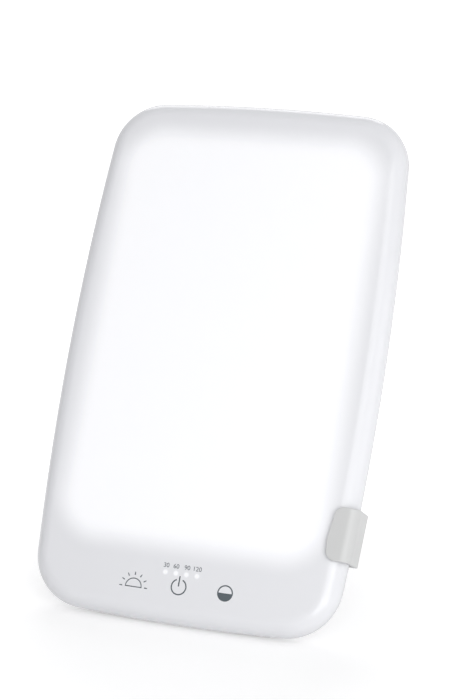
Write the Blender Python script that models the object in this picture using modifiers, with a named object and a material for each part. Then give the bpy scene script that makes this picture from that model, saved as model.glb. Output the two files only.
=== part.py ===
import bmesh
import bpy
from math import asin, atan2, cos, hypot, pi, radians, sin, sqrt
from mathutils import Matrix, Vector

# A light therapy lamp: a flat edge-lit light panel between two moulded covers, leaning back on two
# rubber feet and on the folding leg of a clip-on stand. Lengths are metres. In the panel's own frame
# x runs to the right, y to the back from the plane where the covers meet, and z up along the face.

# Case: two covers whose sides and ends bow outwards between round corners
PANEL_WIDTH = 0.2137
PANEL_HEIGHT = 0.345
SIDE_BOW = 0.0079
END_BOW = 0.0044
CORNER_RADIUS = 0.0352
FRONT_DEPTH = 0.0118
REAR_DEPTH = 0.0096
COVER_WALL = 0.002
RIM_LAND = 0.0006
LEAN = radians(31)

# Clearances that every piece shares
SEAT_GAP = 0.0003
WELD_DISTANCE = 0.000003
CUT_OVERRUN = 0.002
JOIN_SINK = 0.0006

# Facets of the outline, of the round edges and of round pieces
SIDE_STEPS = 3
END_STEPS = 2
CORNER_STEPS = 8
EDGE_STEPS = 5
ROUND_SIDES = 16
FILLET_STEPS = 6
SMALL_FILLET_STEPS = 4
EAR_STEPS = 8
SMALLEST_FILLET_STEPS = 3
SHARP_ANGLE = radians(35)

# Rear cover: the tongue that centres the front cover, and the stiffening ribs
TONGUE_WALL = 0.0012
TONGUE_DEPTH = 0.002
TONGUE_ROOT = 0.0025
RIB_WALL = 0.0012
RIB_RISE = 0.003
RIB_HEIGHT_SHARES = (-0.35, 0.0, 0.35, 0.7)
RIB_WIDTH_SHARE = 0.45

# Cover screws, driven from the back, and the bosses they clamp
SCREW_SHANK_RADIUS = 0.0014
SCREW_HEAD_RADIUS = 0.0029
SCREW_HEAD_HEIGHT = 0.002
SCREW_TIP_CLEARANCE = 0.0008
SCREW_TOP_SHARE = 0.7
SCREW_CROWN_SHARE = 0.4
BOSS_WALL = 0.0014
FRONT_BOSS_WALL = 0.0017
CLAMP_FLOOR = 0.004
BOSS_CLEARANCE = 0.0017
TOP_SCREW_EDGE = 0.0145
TOP_SCREW_SHARE = 0.6
LOW_SCREW_EDGE = 0.016
MIDDLE_SCREW_STEP = 0.01

# Light stack, from the front cover's inner face backwards
DIFFUSER_THICKNESS = 0.0008
GUIDE_THICKNESS = 0.003
REFLECTOR_THICKNESS = 0.0005
SPREADER_THICKNESS = 0.001
GUIDE_SIDE_MARGIN = 0.015
GUIDE_TOP_MARGIN = 0.0245
GUIDE_CORNER_INSET = 0.0112
DIFFUSER_TRIM = 0.0026
FRAME_WALL = 0.0016
FRAME_FRONT_STEP = 0.0005
SPREADER_SIDE_MARGIN = 0.0041
SPREADER_TOP_MARGIN = 0.015
SPREADER_FOOT_RADIUS = 0.008

# Light strips along both sides of the light guide
STRIP_BOARD = 0.001
STRIP_DEPTH = 0.0032
LED_PITCH = 0.0136
LED_LENGTH = 0.0035
LED_DEPTH = 0.0024
LED_RISE = 0.0009

# Control board behind the strip of touch fields
CONTROL_LINE = 0.025
BOARD_WIDTH = 0.11
BOARD_HEIGHT = 0.03
BOARD_THICKNESS = 0.0016
BOARD_CORNER = 0.00125
BOARD_CORNER_STEPS = 2
POST_RADIUS = 0.0026
POST_SIDE_EDGE = 0.005
POST_END_EDGE = 0.0035
BOARD_SCREW_SHANK = 0.001
BOARD_SCREW_HEAD = 0.002
BOARD_SCREW_HEAD_HEIGHT = 0.0012
TOUCH_PITCH = 0.03
TOUCH_DROP = 0.0021
SPRING_RADIUS = 0.0041
SPRING_WIRE_RADIUS = 0.00035
SPRING_TURNS = 3
SPRING_STEPS = 9
SPRING_SIDES_RESOLUTION = 1
TIMER_PITCH = 0.007
TIMER_SHIFT = 0.0004
TIMER_COUNT = 4
TIMER_LED = (0.002, 0.0008, 0.00125)
MASK_END = 0.003
MASK_HEIGHT = 0.005
MASK_CLEARANCE = 0.0012
CHIP_WIDTH = 0.007
CHIP_RISE = 0.0012
CHIP_PLACE_SHARE = -0.22
INDUCTOR_RADIUS = 0.004
INDUCTOR_WAIST = 0.0012
INDUCTOR_RISE_SHARE = 0.6
INDUCTOR_FLANGE_SHARE = 0.2
INDUCTOR_PLACE_SHARE = 0.18
CAPACITOR_RADIUS = 0.003
CAPACITOR_RISE_SHARE = 0.8
CAPACITOR_GROOVE_SHARE = 0.1
CAPACITOR_GROOVE_SHARES = (1 / 4, 1 / 5, 1 / 6)
CAPACITOR_CLEARANCE = 0.00265
CAPACITOR_PITCH = 0.008
CAPACITOR_EDGE = 0.007

# Power socket for the mains adapter's plug
SOCKET_WIDTH = 0.009
SOCKET_SNOUT_RADIUS = 0.0046
SOCKET_BORE_RADIUS = 0.0032
SOCKET_PIN_RADIUS = 0.001
SOCKET_FLOOR = 0.0015
SOCKET_EDGE = 0.017

# Leads from the control board to the light strips
PLUG_SIZE = (0.005, 0.0032, 0.004)
PLUG_SIDE_EDGE = 0.013
PLUG_TOP_EDGE = 0.001
LEAD_RADIUS = 0.0007
LEAD_HOLE_CLEARANCE = 0.0006
LEAD_SIDES_RESOLUTION = 2
LEAD_STEPS = 4

# Rubber feet behind the case's lowest line, where the case hides them from the front
FOOT_WIDTH = 0.03
FOOT_LENGTH = 0.0075
FOOT_HEIGHT = 0.0045
FOOT_PROUD = 0.0008
FOOT_SPREAD = 0.045
FOOT_SETBACK = 0.0055
FOOT_CORNER = 0.0025

# Stand: a bracket that clips over the right edge, with ears for the leg
CLIP_HEIGHT = 0.0686
CLIP_WIDTH = 0.0334
CLIP_CORNER = 0.0058
CLIP_FRONT_RADIUS = 0.007
CLIP_BACK_RADIUS = 0.004
LIP_REACH = 0.0123
STRAP_WALL = 0.003
STRAP_REACH = 0.03
PAD_WIDTH = 0.05
PAD_HEIGHT = 0.024
PAD_CORNER = 0.004
PAD_THICKNESS = 0.0007
EAR_RADIUS = 0.005
EAR_WALL = 0.0045
EAR_BASE = 0.0075
EAR_SWEEP = radians(72)
HUB_RADIUS = 0.0048
HUB_WIDTH = 0.024
HUB_CLEARANCE = 0.0008
WASHER_THICKNESS = 0.0008
WASHER_RADIUS = 0.0042
BOLT_RADIUS = 0.002
BOLT_HEAD_RADIUS = 0.0036
BOLT_HEAD_HEIGHT = 0.0022
BOLT_CROWN_SHARE = 0.25
BOLT_END = 0.0006
NUT_RADIUS = 0.0037
NUT_HEIGHT = 0.0024
NUT_SIDES = 6

# Leg with its rubber shoe
LEG_LENGTH = 0.088
LEG_WEB = 0.0026
LEG_RIM = 0.002
LEG_NECK = 0.0015
LEG_FOOT_WIDTH = 0.06
LEG_FLARE_STEPS = 6
POCKET_ROWS = 3
POCKET_SIDE_STEPS = 3
RIM_SETBACK = 0.0001
SHOE_RADIUS = 0.006
SHOE_FLAT = 0.0004
SHOE_END_RADIUS = 0.0015
SHOE_END_WALL = 0.003
TONGUE_REACH = 0.002

LEVEL = (0.0, 0.0, 0.0)
FACING_FRONT = (pi / 2, 0.0, 0.0)
FACING_RIGHT = (pi / 2, 0.0, pi / 2)
TO_BACK = (-pi / 2, 0.0, 0.0)
TO_RIGHT = (0.0, pi / 2, 0.0)

# Planes across the panel's depth, from front to back
FRONT_INNER = COVER_WALL - FRONT_DEPTH
REAR_INNER = REAR_DEPTH - COVER_WALL
DIFFUSER_FRONT = FRONT_INNER + SEAT_GAP
GUIDE_FRONT = DIFFUSER_FRONT + DIFFUSER_THICKNESS + SEAT_GAP
REFLECTOR_FRONT = GUIDE_FRONT + GUIDE_THICKNESS + SEAT_GAP
SPREADER_FRONT = REFLECTOR_FRONT + REFLECTOR_THICKNESS + SEAT_GAP
SPREADER_BACK = SPREADER_FRONT + SPREADER_THICKNESS
BOARD_FRONT = SPREADER_BACK + SEAT_GAP
BOARD_BACK = BOARD_FRONT + BOARD_THICKNESS
BAY_FRONT = BOARD_BACK + SEAT_GAP
BAY_DEPTH = REAR_INNER - SEAT_GAP - BAY_FRONT
STRAP_INNER = REAR_DEPTH + SEAT_GAP
STRAP_OUTER = STRAP_INNER + STRAP_WALL
HINGE_BACK = STRAP_OUTER + HUB_CLEARANCE + HUB_RADIUS

# Heights up the panel's face, from its centre
PANEL_END = PANEL_HEIGHT / 2
BOARD_CENTRE = CONTROL_LINE - PANEL_END
BOARD_TOP = BOARD_CENTRE + BOARD_HEIGHT / 2
TOUCH_LINE = BOARD_CENTRE - TOUCH_DROP
MASK_BOTTOM = TOUCH_LINE + SPRING_RADIUS + SPRING_WIRE_RADIUS + MASK_CLEARANCE
TIMER_LINE = MASK_BOTTOM + MASK_HEIGHT / 2
FRONT_BOSS_RADIUS = SCREW_SHANK_RADIUS + SEAT_GAP + FRONT_BOSS_WALL
WELL_RADIUS = SCREW_HEAD_RADIUS + SEAT_GAP
REAR_BOSS_RADIUS = WELL_RADIUS + BOSS_WALL
SPREADER_BOTTOM = BOARD_TOP + SEAT_GAP
MIDDLE_SCREW_LINE = SPREADER_BOTTOM + BOSS_CLEARANCE + FRONT_BOSS_RADIUS
FRAME_CHANNEL = SEAT_GAP + LED_RISE + STRIP_BOARD + SEAT_GAP
FRAME_BOTTOM = MIDDLE_SCREW_LINE + FRONT_BOSS_RADIUS + BOSS_CLEARANCE
GUIDE_BOTTOM = FRAME_BOTTOM + FRAME_WALL + FRAME_CHANNEL
GUIDE_TOP = PANEL_END - GUIDE_TOP_MARGIN
CLIP_LINE = CLIP_HEIGHT - PANEL_END

# Places across the panel's width
GUIDE_SIDE = PANEL_WIDTH / 2 - GUIDE_SIDE_MARGIN
GUIDE_CORNER = CORNER_RADIUS - GUIDE_CORNER_INSET
SPREADER_SIDE = GUIDE_SIDE + SPREADER_SIDE_MARGIN
STRIP_SIDE = GUIDE_SIDE + SEAT_GAP + LED_RISE
STRIP_LOW = GUIDE_BOTTOM + GUIDE_CORNER
LOW_SCREW_SIDE = BOARD_WIDTH / 2 + REAR_BOSS_RADIUS + BOSS_CLEARANCE
EAR_INNER = HUB_WIDTH / 2 + SEAT_GAP + WASHER_THICKNESS + SEAT_GAP
EAR_OUTER = EAR_INNER + EAR_WALL

# The panel's height over the floor, and the slope at which the leg then reaches the floor
PANEL_LIFT = (PANEL_END - REAR_DEPTH) * cos(LEAN) + REAR_DEPTH + FOOT_PROUD
FOOT_CONTACT = -(PANEL_END - REAR_DEPTH) * sin(LEAN)
HINGE_LIFT = PANEL_LIFT - HINGE_BACK * sin(LEAN) + CLIP_LINE * cos(LEAN)
LEG_SLOPE = asin((HINGE_LIFT - SHOE_RADIUS + SHOE_FLAT) / LEG_LENGTH)
LEG_OPENING = pi / 2 - LEAN + LEG_SLOPE


for leftover in list(bpy.data.objects):
    bpy.data.objects.remove(leftover, do_unlink=True)

parts = bpy.data.collections.new("light_therapy_lamp")
cutters = bpy.data.collections.new("cutters")
bpy.context.scene.collection.children.link(parts)
bpy.context.scene.collection.children.link(cutters)


def material(name, colour, roughness, metallic=0.0):
    made = bpy.data.materials.new(name)
    made.use_nodes = True
    shader = made.node_tree.nodes["Principled BSDF"]
    shader.inputs["Base Color"].default_value = (*colour, 1.0)
    shader.inputs["Roughness"].default_value = roughness
    shader.inputs["Metallic"].default_value = metallic
    return made


opal_white = material("opal_white", (0.86, 0.87, 0.88), 0.18)
shell_white = material("shell_white", (0.80, 0.81, 0.82), 0.28)
grey_plastic = material("grey_plastic", (0.52, 0.52, 0.50), 0.55)
rubber = material("rubber", (0.09, 0.09, 0.09), 0.85)
clear_acrylic = material("clear_acrylic", (0.80, 0.88, 0.92), 0.08)
film_white = material("film_white", (0.90, 0.90, 0.88), 0.50)
aluminium = material("aluminium", (0.66, 0.67, 0.68), 0.38, 1.0)
circuit_board = material("circuit_board", (0.03, 0.20, 0.09), 0.45)
led_yellow = material("led_yellow", (0.85, 0.72, 0.30), 0.35)
steel = material("steel", (0.55, 0.56, 0.58), 0.30, 1.0)
copper = material("copper", (0.60, 0.30, 0.16), 0.35, 1.0)
black_plastic = material("black_plastic", (0.03, 0.03, 0.03), 0.45)
lead_insulation = material("lead_insulation", (0.45, 0.04, 0.03), 0.50)


def frame(name, parent, location, rotation=LEVEL):
    made = bpy.data.objects.new(name, None)
    parts.objects.link(made)
    made.parent = parent
    made.location = location
    made.rotation_euler = rotation
    return made


lamp_frame = frame("lamp_frame", None, (0.0, 0.0, 0.0))
panel_frame = frame("panel_frame", lamp_frame, (0.0, 0.0, PANEL_LIFT), (-LEAN, 0.0, 0.0))
leg_frame = frame("leg_frame", panel_frame, (0.0, HINGE_BACK, CLIP_LINE), (-LEG_OPENING, 0.0, 0.0))


def solid(name, mesh, look, parent, location=(0.0, 0.0, 0.0), rotation=LEVEL):
    made = bpy.data.objects.new(name, mesh)
    made.parent = parent
    made.location = location
    made.rotation_euler = rotation
    if look is None:
        cutters.objects.link(made)
        made.hide_render = True
        made.display_type = "WIRE"
    else:
        parts.objects.link(made)
        if not mesh.materials:
            mesh.materials.append(look)
    return made


def finished(name, bm):
    mesh = bpy.data.meshes.new(name)
    bm.to_mesh(mesh)
    bm.free()
    mesh.shade_smooth()
    mesh.set_sharp_from_angle(angle=SHARP_ANGLE)
    return mesh


def add_box(bm, low, high):
    low = Vector(low)
    high = Vector(high)
    stretch = Matrix.Diagonal(high - low).to_4x4()
    bmesh.ops.create_cube(bm, size=1.0, matrix=Matrix.Translation((low + high) / 2) @ stretch)


def add_rod(bm, radius, start, end):
    start = Vector(start)
    end = Vector(end)
    turn = (end - start).to_track_quat("Z", "Y").to_matrix().to_4x4()
    place = Matrix.Translation((start + end) / 2) @ turn
    bmesh.ops.create_cone(bm, cap_ends=True, segments=ROUND_SIDES, radius1=radius, radius2=radius,
                          depth=(end - start).length, matrix=place)


def arc(centre, radius, start, end, steps):
    turns = [start + (end - start) * step / steps for step in range(steps + 1)]
    return [(centre[0] + radius * cos(turn), centre[1] + radius * sin(turn)) for turn in turns]


def circle(x, z, radius):
    return arc((x, z), radius, 0.0, 2 * pi, ROUND_SIDES)[:-1]


def rounded_box(left, right, bottom, top, low_radius, high_radius, steps=FILLET_STEPS):
    points = []
    points += arc((right - low_radius, bottom + low_radius), low_radius, -pi / 2, 0.0, steps)
    points += arc((right - high_radius, top - high_radius), high_radius, 0.0, pi / 2, steps)
    points += arc((left + high_radius, top - high_radius), high_radius, pi / 2, pi, steps)
    points += arc((left + low_radius, bottom + low_radius), low_radius, pi, 3 * pi / 2, steps)
    return points


def welded(name, curve):
    drawn = bpy.data.objects.new(name, curve)
    bpy.context.scene.collection.objects.link(drawn)
    graph = bpy.context.evaluated_depsgraph_get()
    mesh = bpy.data.meshes.new_from_object(drawn.evaluated_get(graph))
    bm = bmesh.new()
    bm.from_mesh(mesh)
    bmesh.ops.remove_doubles(bm, verts=bm.verts, dist=WELD_DISTANCE)
    bpy.data.objects.remove(drawn, do_unlink=True)
    bpy.data.curves.remove(curve)
    bpy.data.meshes.remove(mesh)
    return finished(name, bm)


def plate(name, loops, low, high, look, parent, rotation=FACING_FRONT, place=(0.0, 0.0, 0.0)):
    # a flat outline, with any further loops as its holes, from low to high across its own plane
    curve = bpy.data.curves.new(name, "CURVE")
    curve.dimensions = "2D"
    curve.fill_mode = "BOTH"
    curve.extrude = (high - low) / 2
    for loop in loops:
        spline = curve.splines.new("POLY")
        spline.points.add(len(loop) - 1)
        for point, (across, up) in zip(spline.points, loop):
            point.co = (across, up, 0.0, 1.0)
        spline.use_cyclic_u = True
    middle = (low + high) / 2
    shift = Vector((0.0, middle, 0.0)) if rotation == FACING_FRONT else Vector((middle, 0.0, 0.0))
    mesh = welded(name, curve)
    return solid(name, mesh, look, parent, Vector(place) + shift, rotation)


def wire(name, points, radius, resolution, look, parent, location=(0.0, 0.0, 0.0), rotation=LEVEL):
    curve = bpy.data.curves.new(name, "CURVE")
    curve.dimensions = "3D"
    curve.bevel_depth = radius
    curve.bevel_resolution = resolution
    curve.use_fill_caps = True
    spline = curve.splines.new("POLY")
    spline.points.add(len(points) - 1)
    for point, place in zip(spline.points, points):
        point.co = (*place, 1.0)
    mesh = welded(name, curve)
    return solid(name, mesh, look, parent, location, rotation)


def turned(name, profile, look, parent, location, rotation=TO_BACK, mesh=None):
    # a profile of (radius, height) from its top on the axis down its outer side to the axis again
    if mesh is None:
        mesh = bpy.data.meshes.new(name)
        points = [(radius, 0.0, height) for radius, height in profile]
        mesh.from_pydata(points, [(n, n + 1) for n in range(len(points) - 1)], [])
    made = solid(name, mesh, look, parent, location, rotation)
    spin = made.modifiers.new("turn", "SCREW")
    spin.steps = ROUND_SIDES
    spin.render_steps = ROUND_SIDES
    spin.use_merge_vertices = True
    spin.merge_threshold = WELD_DISTANCE
    return made


def combine(piece, tool, operation, solver="EXACT"):
    change = piece.modifiers.new(tool.name, "BOOLEAN")
    change.operation = operation
    change.solver = solver
    change.object = tool


def bow_radius(half_length, bow):
    return (half_length ** 2 + bow ** 2) / (2 * bow)


def outline(grow):
    # bowed sides and ends that run tangent into the round corners, grown outwards by an even offset
    side = bow_radius(PANEL_HEIGHT / 2, SIDE_BOW)
    end = bow_radius(PANEL_WIDTH / 2, END_BOW)
    side_x = PANEL_WIDTH / 2 - side
    end_z = PANEL_HEIGHT / 2 - end
    apart = hypot(side_x, end_z)
    along = (apart ** 2 + (side - CORNER_RADIUS) ** 2 - (end - CORNER_RADIUS) ** 2) / (2 * apart)
    off = sqrt((side - CORNER_RADIUS) ** 2 - along ** 2)
    corner_x = side_x - (along * side_x + off * end_z) / apart
    corner_z = (along * end_z - off * side_x) / apart
    side_turn = atan2(corner_z, corner_x - side_x)
    end_turn = atan2(corner_z - end_z, corner_x)
    quarter = arc((side_x, 0.0), side + grow, 0.0, side_turn, SIDE_STEPS)
    quarter += arc((corner_x, corner_z), CORNER_RADIUS + grow, side_turn, end_turn, CORNER_STEPS)[1:]
    quarter += arc((0.0, end_z), end + grow, end_turn, pi / 2, END_STEPS)[1:]
    upper = quarter + [(-x, z) for x, z in quarter[-2::-1]]
    return upper + [(x, -z) for x, z in upper[-2:0:-1]]


def half_width(height):
    side = bow_radius(PANEL_HEIGHT / 2, SIDE_BOW)
    return PANEL_WIDTH / 2 - side + sqrt(side ** 2 - height ** 2)


def add_dome(bm, grow, facing, depth, rim):
    # half of the case's form: the outline's rim, a short straight land, then the round edge to the face
    points = outline(grow)
    if facing > 0:
        points.reverse()
    face = bm.faces.new([bm.verts.new((x, facing * rim, z)) for x, z in points])
    radius = depth - RIM_LAND + grow
    rings = [(0.0, rim), (0.0, RIM_LAND)]
    for step in range(1, EDGE_STEPS + 1):
        turn = pi / 2 * step / EDGE_STEPS
        rings.append((radius * (1 - cos(turn)), RIM_LAND + radius * sin(turn)))
    for (inset, out), (next_inset, next_out) in zip(rings, rings[1:]):
        face.normal_update()
        if next_inset == inset:
            raised = bmesh.ops.extrude_discrete_faces(bm, faces=[face])
            face = raised["faces"][0]
            bmesh.ops.translate(bm, verts=face.verts, vec=(0.0, facing * (next_out - out), 0.0))
        else:
            bmesh.ops.inset_region(bm, faces=[face], thickness=next_inset - inset,
                                   depth=next_out - out, use_even_offset=True)


def cover_shell(name, facing, depth, look):
    bm = bmesh.new()
    add_dome(bm, 0.0, facing, depth, SEAT_GAP / 2)
    made = solid(name, finished(name, bm), look, panel_frame)
    wall = made.modifiers.new("wall", "SOLIDIFY")
    wall.thickness = COVER_WALL
    wall.offset = -1.0
    wall.use_even_offset = True
    return made


def case_form(name, grow):
    # the closed form of the whole case, grown by a clearance, for whatever wraps round it
    bm = bmesh.new()
    add_dome(bm, grow, -1, FRONT_DEPTH, 0.0)
    add_dome(bm, grow, 1, REAR_DEPTH, 0.0)
    bmesh.ops.remove_doubles(bm, verts=bm.verts, dist=WELD_DISTANCE)
    return solid(name, finished(name, bm), None, panel_frame)


def cover_screw_places():
    # across, up, and the planes in front of and behind what the two bosses clamp
    middle_side = LOW_SCREW_SIDE + MIDDLE_SCREW_STEP
    top_side = SPREADER_SIDE * TOP_SCREW_SHARE
    places = []
    for facing in (-1, 1):
        clamp = (SPREADER_FRONT - SEAT_GAP, SPREADER_BACK + SEAT_GAP)
        places.append((facing * top_side, PANEL_END - TOP_SCREW_EDGE, *clamp))
        places.append((facing * middle_side, MIDDLE_SCREW_LINE, *clamp))
        places.append((facing * LOW_SCREW_SIDE, LOW_SCREW_EDGE - PANEL_END, -SEAT_GAP / 2, SEAT_GAP / 2))
    return places


def board_post_places():
    across = BOARD_WIDTH / 2 - POST_SIDE_EDGE
    up = BOARD_HEIGHT / 2 - POST_END_EDGE
    return [(x, BOARD_CENTRE + z) for x in (-across, across) for z in (-up, up)]


def screw_length():
    seat = SPREADER_BACK + SEAT_GAP + CLAMP_FLOOR + SEAT_GAP
    return seat - FRONT_INNER - SCREW_TIP_CLEARANCE


def front_cover():
    cover = cover_shell("front_cover", -1, FRONT_DEPTH, opal_white)
    bosses = bmesh.new()
    bores = bmesh.new()
    root = FRONT_INNER - COVER_WALL / 2
    for x, z, clamp_front, clamp_back in cover_screw_places():
        tip = clamp_back + CLAMP_FLOOR + SEAT_GAP - screw_length() - SEAT_GAP
        add_rod(bosses, FRONT_BOSS_RADIUS, (x, root, z), (x, clamp_front, z))
        add_rod(bores, SCREW_SHANK_RADIUS + SEAT_GAP, (x, tip, z), (x, clamp_front + CUT_OVERRUN, z))
    post_top = BOARD_FRONT - SEAT_GAP
    for x, z in board_post_places():
        tip = FRONT_INNER + SCREW_TIP_CLEARANCE - SEAT_GAP
        add_rod(bosses, POST_RADIUS, (x, root, z), (x, post_top, z))
        add_rod(bores, BOARD_SCREW_SHANK + SEAT_GAP, (x, tip, z), (x, post_top + CUT_OVERRUN, z))
    combine(cover, solid("front_bosses", finished("front_bosses", bosses), None, panel_frame), "UNION")
    combine(cover, solid("front_bores", finished("front_bores", bores), None, panel_frame), "DIFFERENCE")


def rear_cover():
    cover = cover_shell("rear_cover", 1, REAR_DEPTH, shell_white)
    level_ribs = bmesh.new()
    upright_ribs = bmesh.new()
    heights = [share * PANEL_END for share in RIB_HEIGHT_SHARES]
    crest = REAR_INNER - RIB_RISE
    root = REAR_INNER + COVER_WALL / 2
    for height in heights:
        reach = half_width(abs(height)) - REAR_DEPTH
        add_box(level_ribs, (-reach, crest, height - RIB_WALL / 2), (reach, root, height + RIB_WALL / 2))
    for x in (-RIB_WIDTH_SHARE * PANEL_WIDTH / 2, RIB_WIDTH_SHARE * PANEL_WIDTH / 2):
        add_box(upright_ribs, (x - RIB_WALL / 2, crest, heights[0]), (x + RIB_WALL / 2, root, heights[-1]))
    combine(cover, solid("level_ribs", finished("level_ribs", level_ribs), None, panel_frame), "UNION")
    combine(cover, solid("upright_ribs", finished("upright_ribs", upright_ribs), None, panel_frame), "UNION")

    bosses = bmesh.new()
    wells = bmesh.new()
    bores = bmesh.new()
    for x, z, clamp_front, clamp_back in cover_screw_places():
        floor = clamp_back + CLAMP_FLOOR
        add_rod(bosses, REAR_BOSS_RADIUS, (x, clamp_back, z), (x, root, z))
        add_rod(wells, WELL_RADIUS, (x, floor, z), (x, REAR_DEPTH + CUT_OVERRUN, z))
        add_rod(bores, SCREW_SHANK_RADIUS + SEAT_GAP, (x, clamp_back - CUT_OVERRUN, z),
                (x, floor + CUT_OVERRUN / 2, z))
    add_rod(wells, SOCKET_SNOUT_RADIUS + SEAT_GAP, (socket_side(), REAR_INNER - CUT_OVERRUN, BOARD_CENTRE),
            (socket_side(), REAR_DEPTH + CUT_OVERRUN, BOARD_CENTRE))
    combine(cover, solid("rear_bosses", finished("rear_bosses", bosses), None, panel_frame), "UNION")
    combine(cover, solid("rear_wells", finished("rear_wells", wells), None, panel_frame), "DIFFERENCE")
    combine(cover, solid("rear_bores", finished("rear_bores", bores), None, panel_frame), "DIFFERENCE")

    # the tongue starts inside the front cover's first edge facet, so that it clears its draw
    front_edge = FRONT_DEPTH - RIM_LAND - COVER_WALL
    outer = COVER_WALL + SEAT_GAP + front_edge * (1 - cos(pi / 2 / EDGE_STEPS))
    inner = outer + TONGUE_WALL
    tongue = [outline(-outer), outline(-inner)]
    root = [outline(-COVER_WALL / 2), outline(-inner)]
    lip = plate("tongue_root", root, SEAT_GAP, TONGUE_ROOT, None, panel_frame)
    ring = plate("tongue", tongue, -TONGUE_DEPTH, TONGUE_ROOT / 2, None, panel_frame)
    combine(lip, ring, "UNION", "MANIFOLD")
    combine(cover, lip, "UNION", "MANIFOLD")


def screw_profile(head_radius, head_height, shank_radius, length):
    # pan head over a pointed shank; height zero is the underside of the head
    flat = SCREW_TOP_SHARE * head_radius
    crown = SCREW_CROWN_SHARE * head_height
    return [(0.0, head_height), (flat, head_height), (head_radius, head_height - crown),
            (head_radius, 0.0), (shank_radius, 0.0), (shank_radius, shank_radius - length), (0.0, -length)]


def cover_screws():
    profile = screw_profile(SCREW_HEAD_RADIUS, SCREW_HEAD_HEIGHT, SCREW_SHANK_RADIUS, screw_length())
    shared = None
    for number, (x, z, clamp_front, clamp_back) in enumerate(cover_screw_places(), 1):
        seat = clamp_back + CLAMP_FLOOR + SEAT_GAP
        screw = turned(f"cover_screw_{number}", profile, steel, panel_frame, (x, seat, z), mesh=shared)
        shared = screw.data


def board_screws():
    seat = BAY_FRONT
    length = seat - FRONT_INNER - SCREW_TIP_CLEARANCE
    profile = screw_profile(BOARD_SCREW_HEAD, BOARD_SCREW_HEAD_HEIGHT, BOARD_SCREW_SHANK, length)
    shared = None
    for number, (x, z) in enumerate(board_post_places(), 1):
        screw = turned(f"board_screw_{number}", profile, steel, panel_frame, (x, seat, z), mesh=shared)
        shared = screw.data


def light_stack():
    def guide_outline(inset):
        side = GUIDE_SIDE - inset
        corner = GUIDE_CORNER - inset
        return rounded_box(-side, side, GUIDE_BOTTOM + inset, GUIDE_TOP - inset, corner, corner)

    # the diffuser sheet keeps inside the front cover's round edge, and the others fill the frame
    plate("diffuser_sheet", [guide_outline(DIFFUSER_TRIM)], DIFFUSER_FRONT,
          DIFFUSER_FRONT + DIFFUSER_THICKNESS, film_white, panel_frame)
    plate("light_guide", [guide_outline(0.0)], GUIDE_FRONT, GUIDE_FRONT + GUIDE_THICKNESS,
          clear_acrylic, panel_frame)
    plate("reflector_sheet", [guide_outline(0.0)], REFLECTOR_FRONT,
          REFLECTOR_FRONT + REFLECTOR_THICKNESS, film_white, panel_frame)
    ring = [guide_outline(-FRAME_CHANNEL - FRAME_WALL), guide_outline(-FRAME_CHANNEL)]
    plate("light_frame", ring, GUIDE_FRONT + FRAME_FRONT_STEP, SPREADER_FRONT - SEAT_GAP,
          shell_white, panel_frame)


def lead_hole(facing):
    # where a lead passes the spreader, straight behind the middle of its light strip
    across = STRIP_SIDE + STRIP_BOARD / 2 - LEAD_RADIUS / 2
    return facing * across, STRIP_LOW + LED_LENGTH


def heat_spreader():
    corner = GUIDE_CORNER + SPREADER_SIDE_MARGIN
    loops = [rounded_box(-SPREADER_SIDE, SPREADER_SIDE, SPREADER_BOTTOM, GUIDE_TOP + SPREADER_TOP_MARGIN,
                         SPREADER_FOOT_RADIUS, corner)]
    for x, z, clamp_front, clamp_back in cover_screw_places():
        if clamp_front < -SEAT_GAP:
            loops.append(circle(x, z, SCREW_SHANK_RADIUS + SEAT_GAP))
    for facing in (-1, 1):
        loops.append(circle(*lead_hole(facing), LEAD_RADIUS + LEAD_HOLE_CLEARANCE))
    plate("heat_spreader", loops, SPREADER_FRONT, SPREADER_BACK, aluminium, panel_frame)


def led_strips():
    low = STRIP_LOW
    high = GUIDE_TOP - GUIDE_CORNER
    middle = GUIDE_FRONT + GUIDE_THICKNESS / 2
    count = int((high - low - LED_LENGTH) / LED_PITCH) + 1
    first = (low + high - (count - 1) * LED_PITCH) / 2
    for facing, word in ((-1, "left"), (1, "right")):
        board = bmesh.new()
        ends = sorted((facing * STRIP_SIDE, facing * (STRIP_SIDE + STRIP_BOARD)))
        add_box(board, (ends[0], middle - STRIP_DEPTH / 2, low), (ends[1], middle + STRIP_DEPTH / 2, high))
        lights = bmesh.new()
        ends = sorted((facing * (STRIP_SIDE - LED_RISE), facing * (STRIP_SIDE + STRIP_BOARD / 2)))
        for number in range(count):
            height = first + number * LED_PITCH
            add_box(lights, (ends[0], middle - LED_DEPTH / 2, height - LED_LENGTH / 2),
                    (ends[1], middle + LED_DEPTH / 2, height + LED_LENGTH / 2))
        name = f"led_strip_{word}"
        strip = solid(name, finished(name, board), circuit_board, panel_frame)
        row = solid(f"{name}_lights", finished(f"{name}_lights", lights), None, panel_frame)
        combine(strip, row, "UNION")


def control_board():
    loops = [rounded_box(-BOARD_WIDTH / 2, BOARD_WIDTH / 2, BOARD_CENTRE - BOARD_HEIGHT / 2, BOARD_TOP,
                         BOARD_CORNER, BOARD_CORNER, BOARD_CORNER_STEPS)]
    for x, z in board_post_places():
        loops.append(circle(x, z, BOARD_SCREW_SHANK + SEAT_GAP))
    plate("control_board", loops, BOARD_FRONT, BOARD_BACK, circuit_board, panel_frame)


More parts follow.
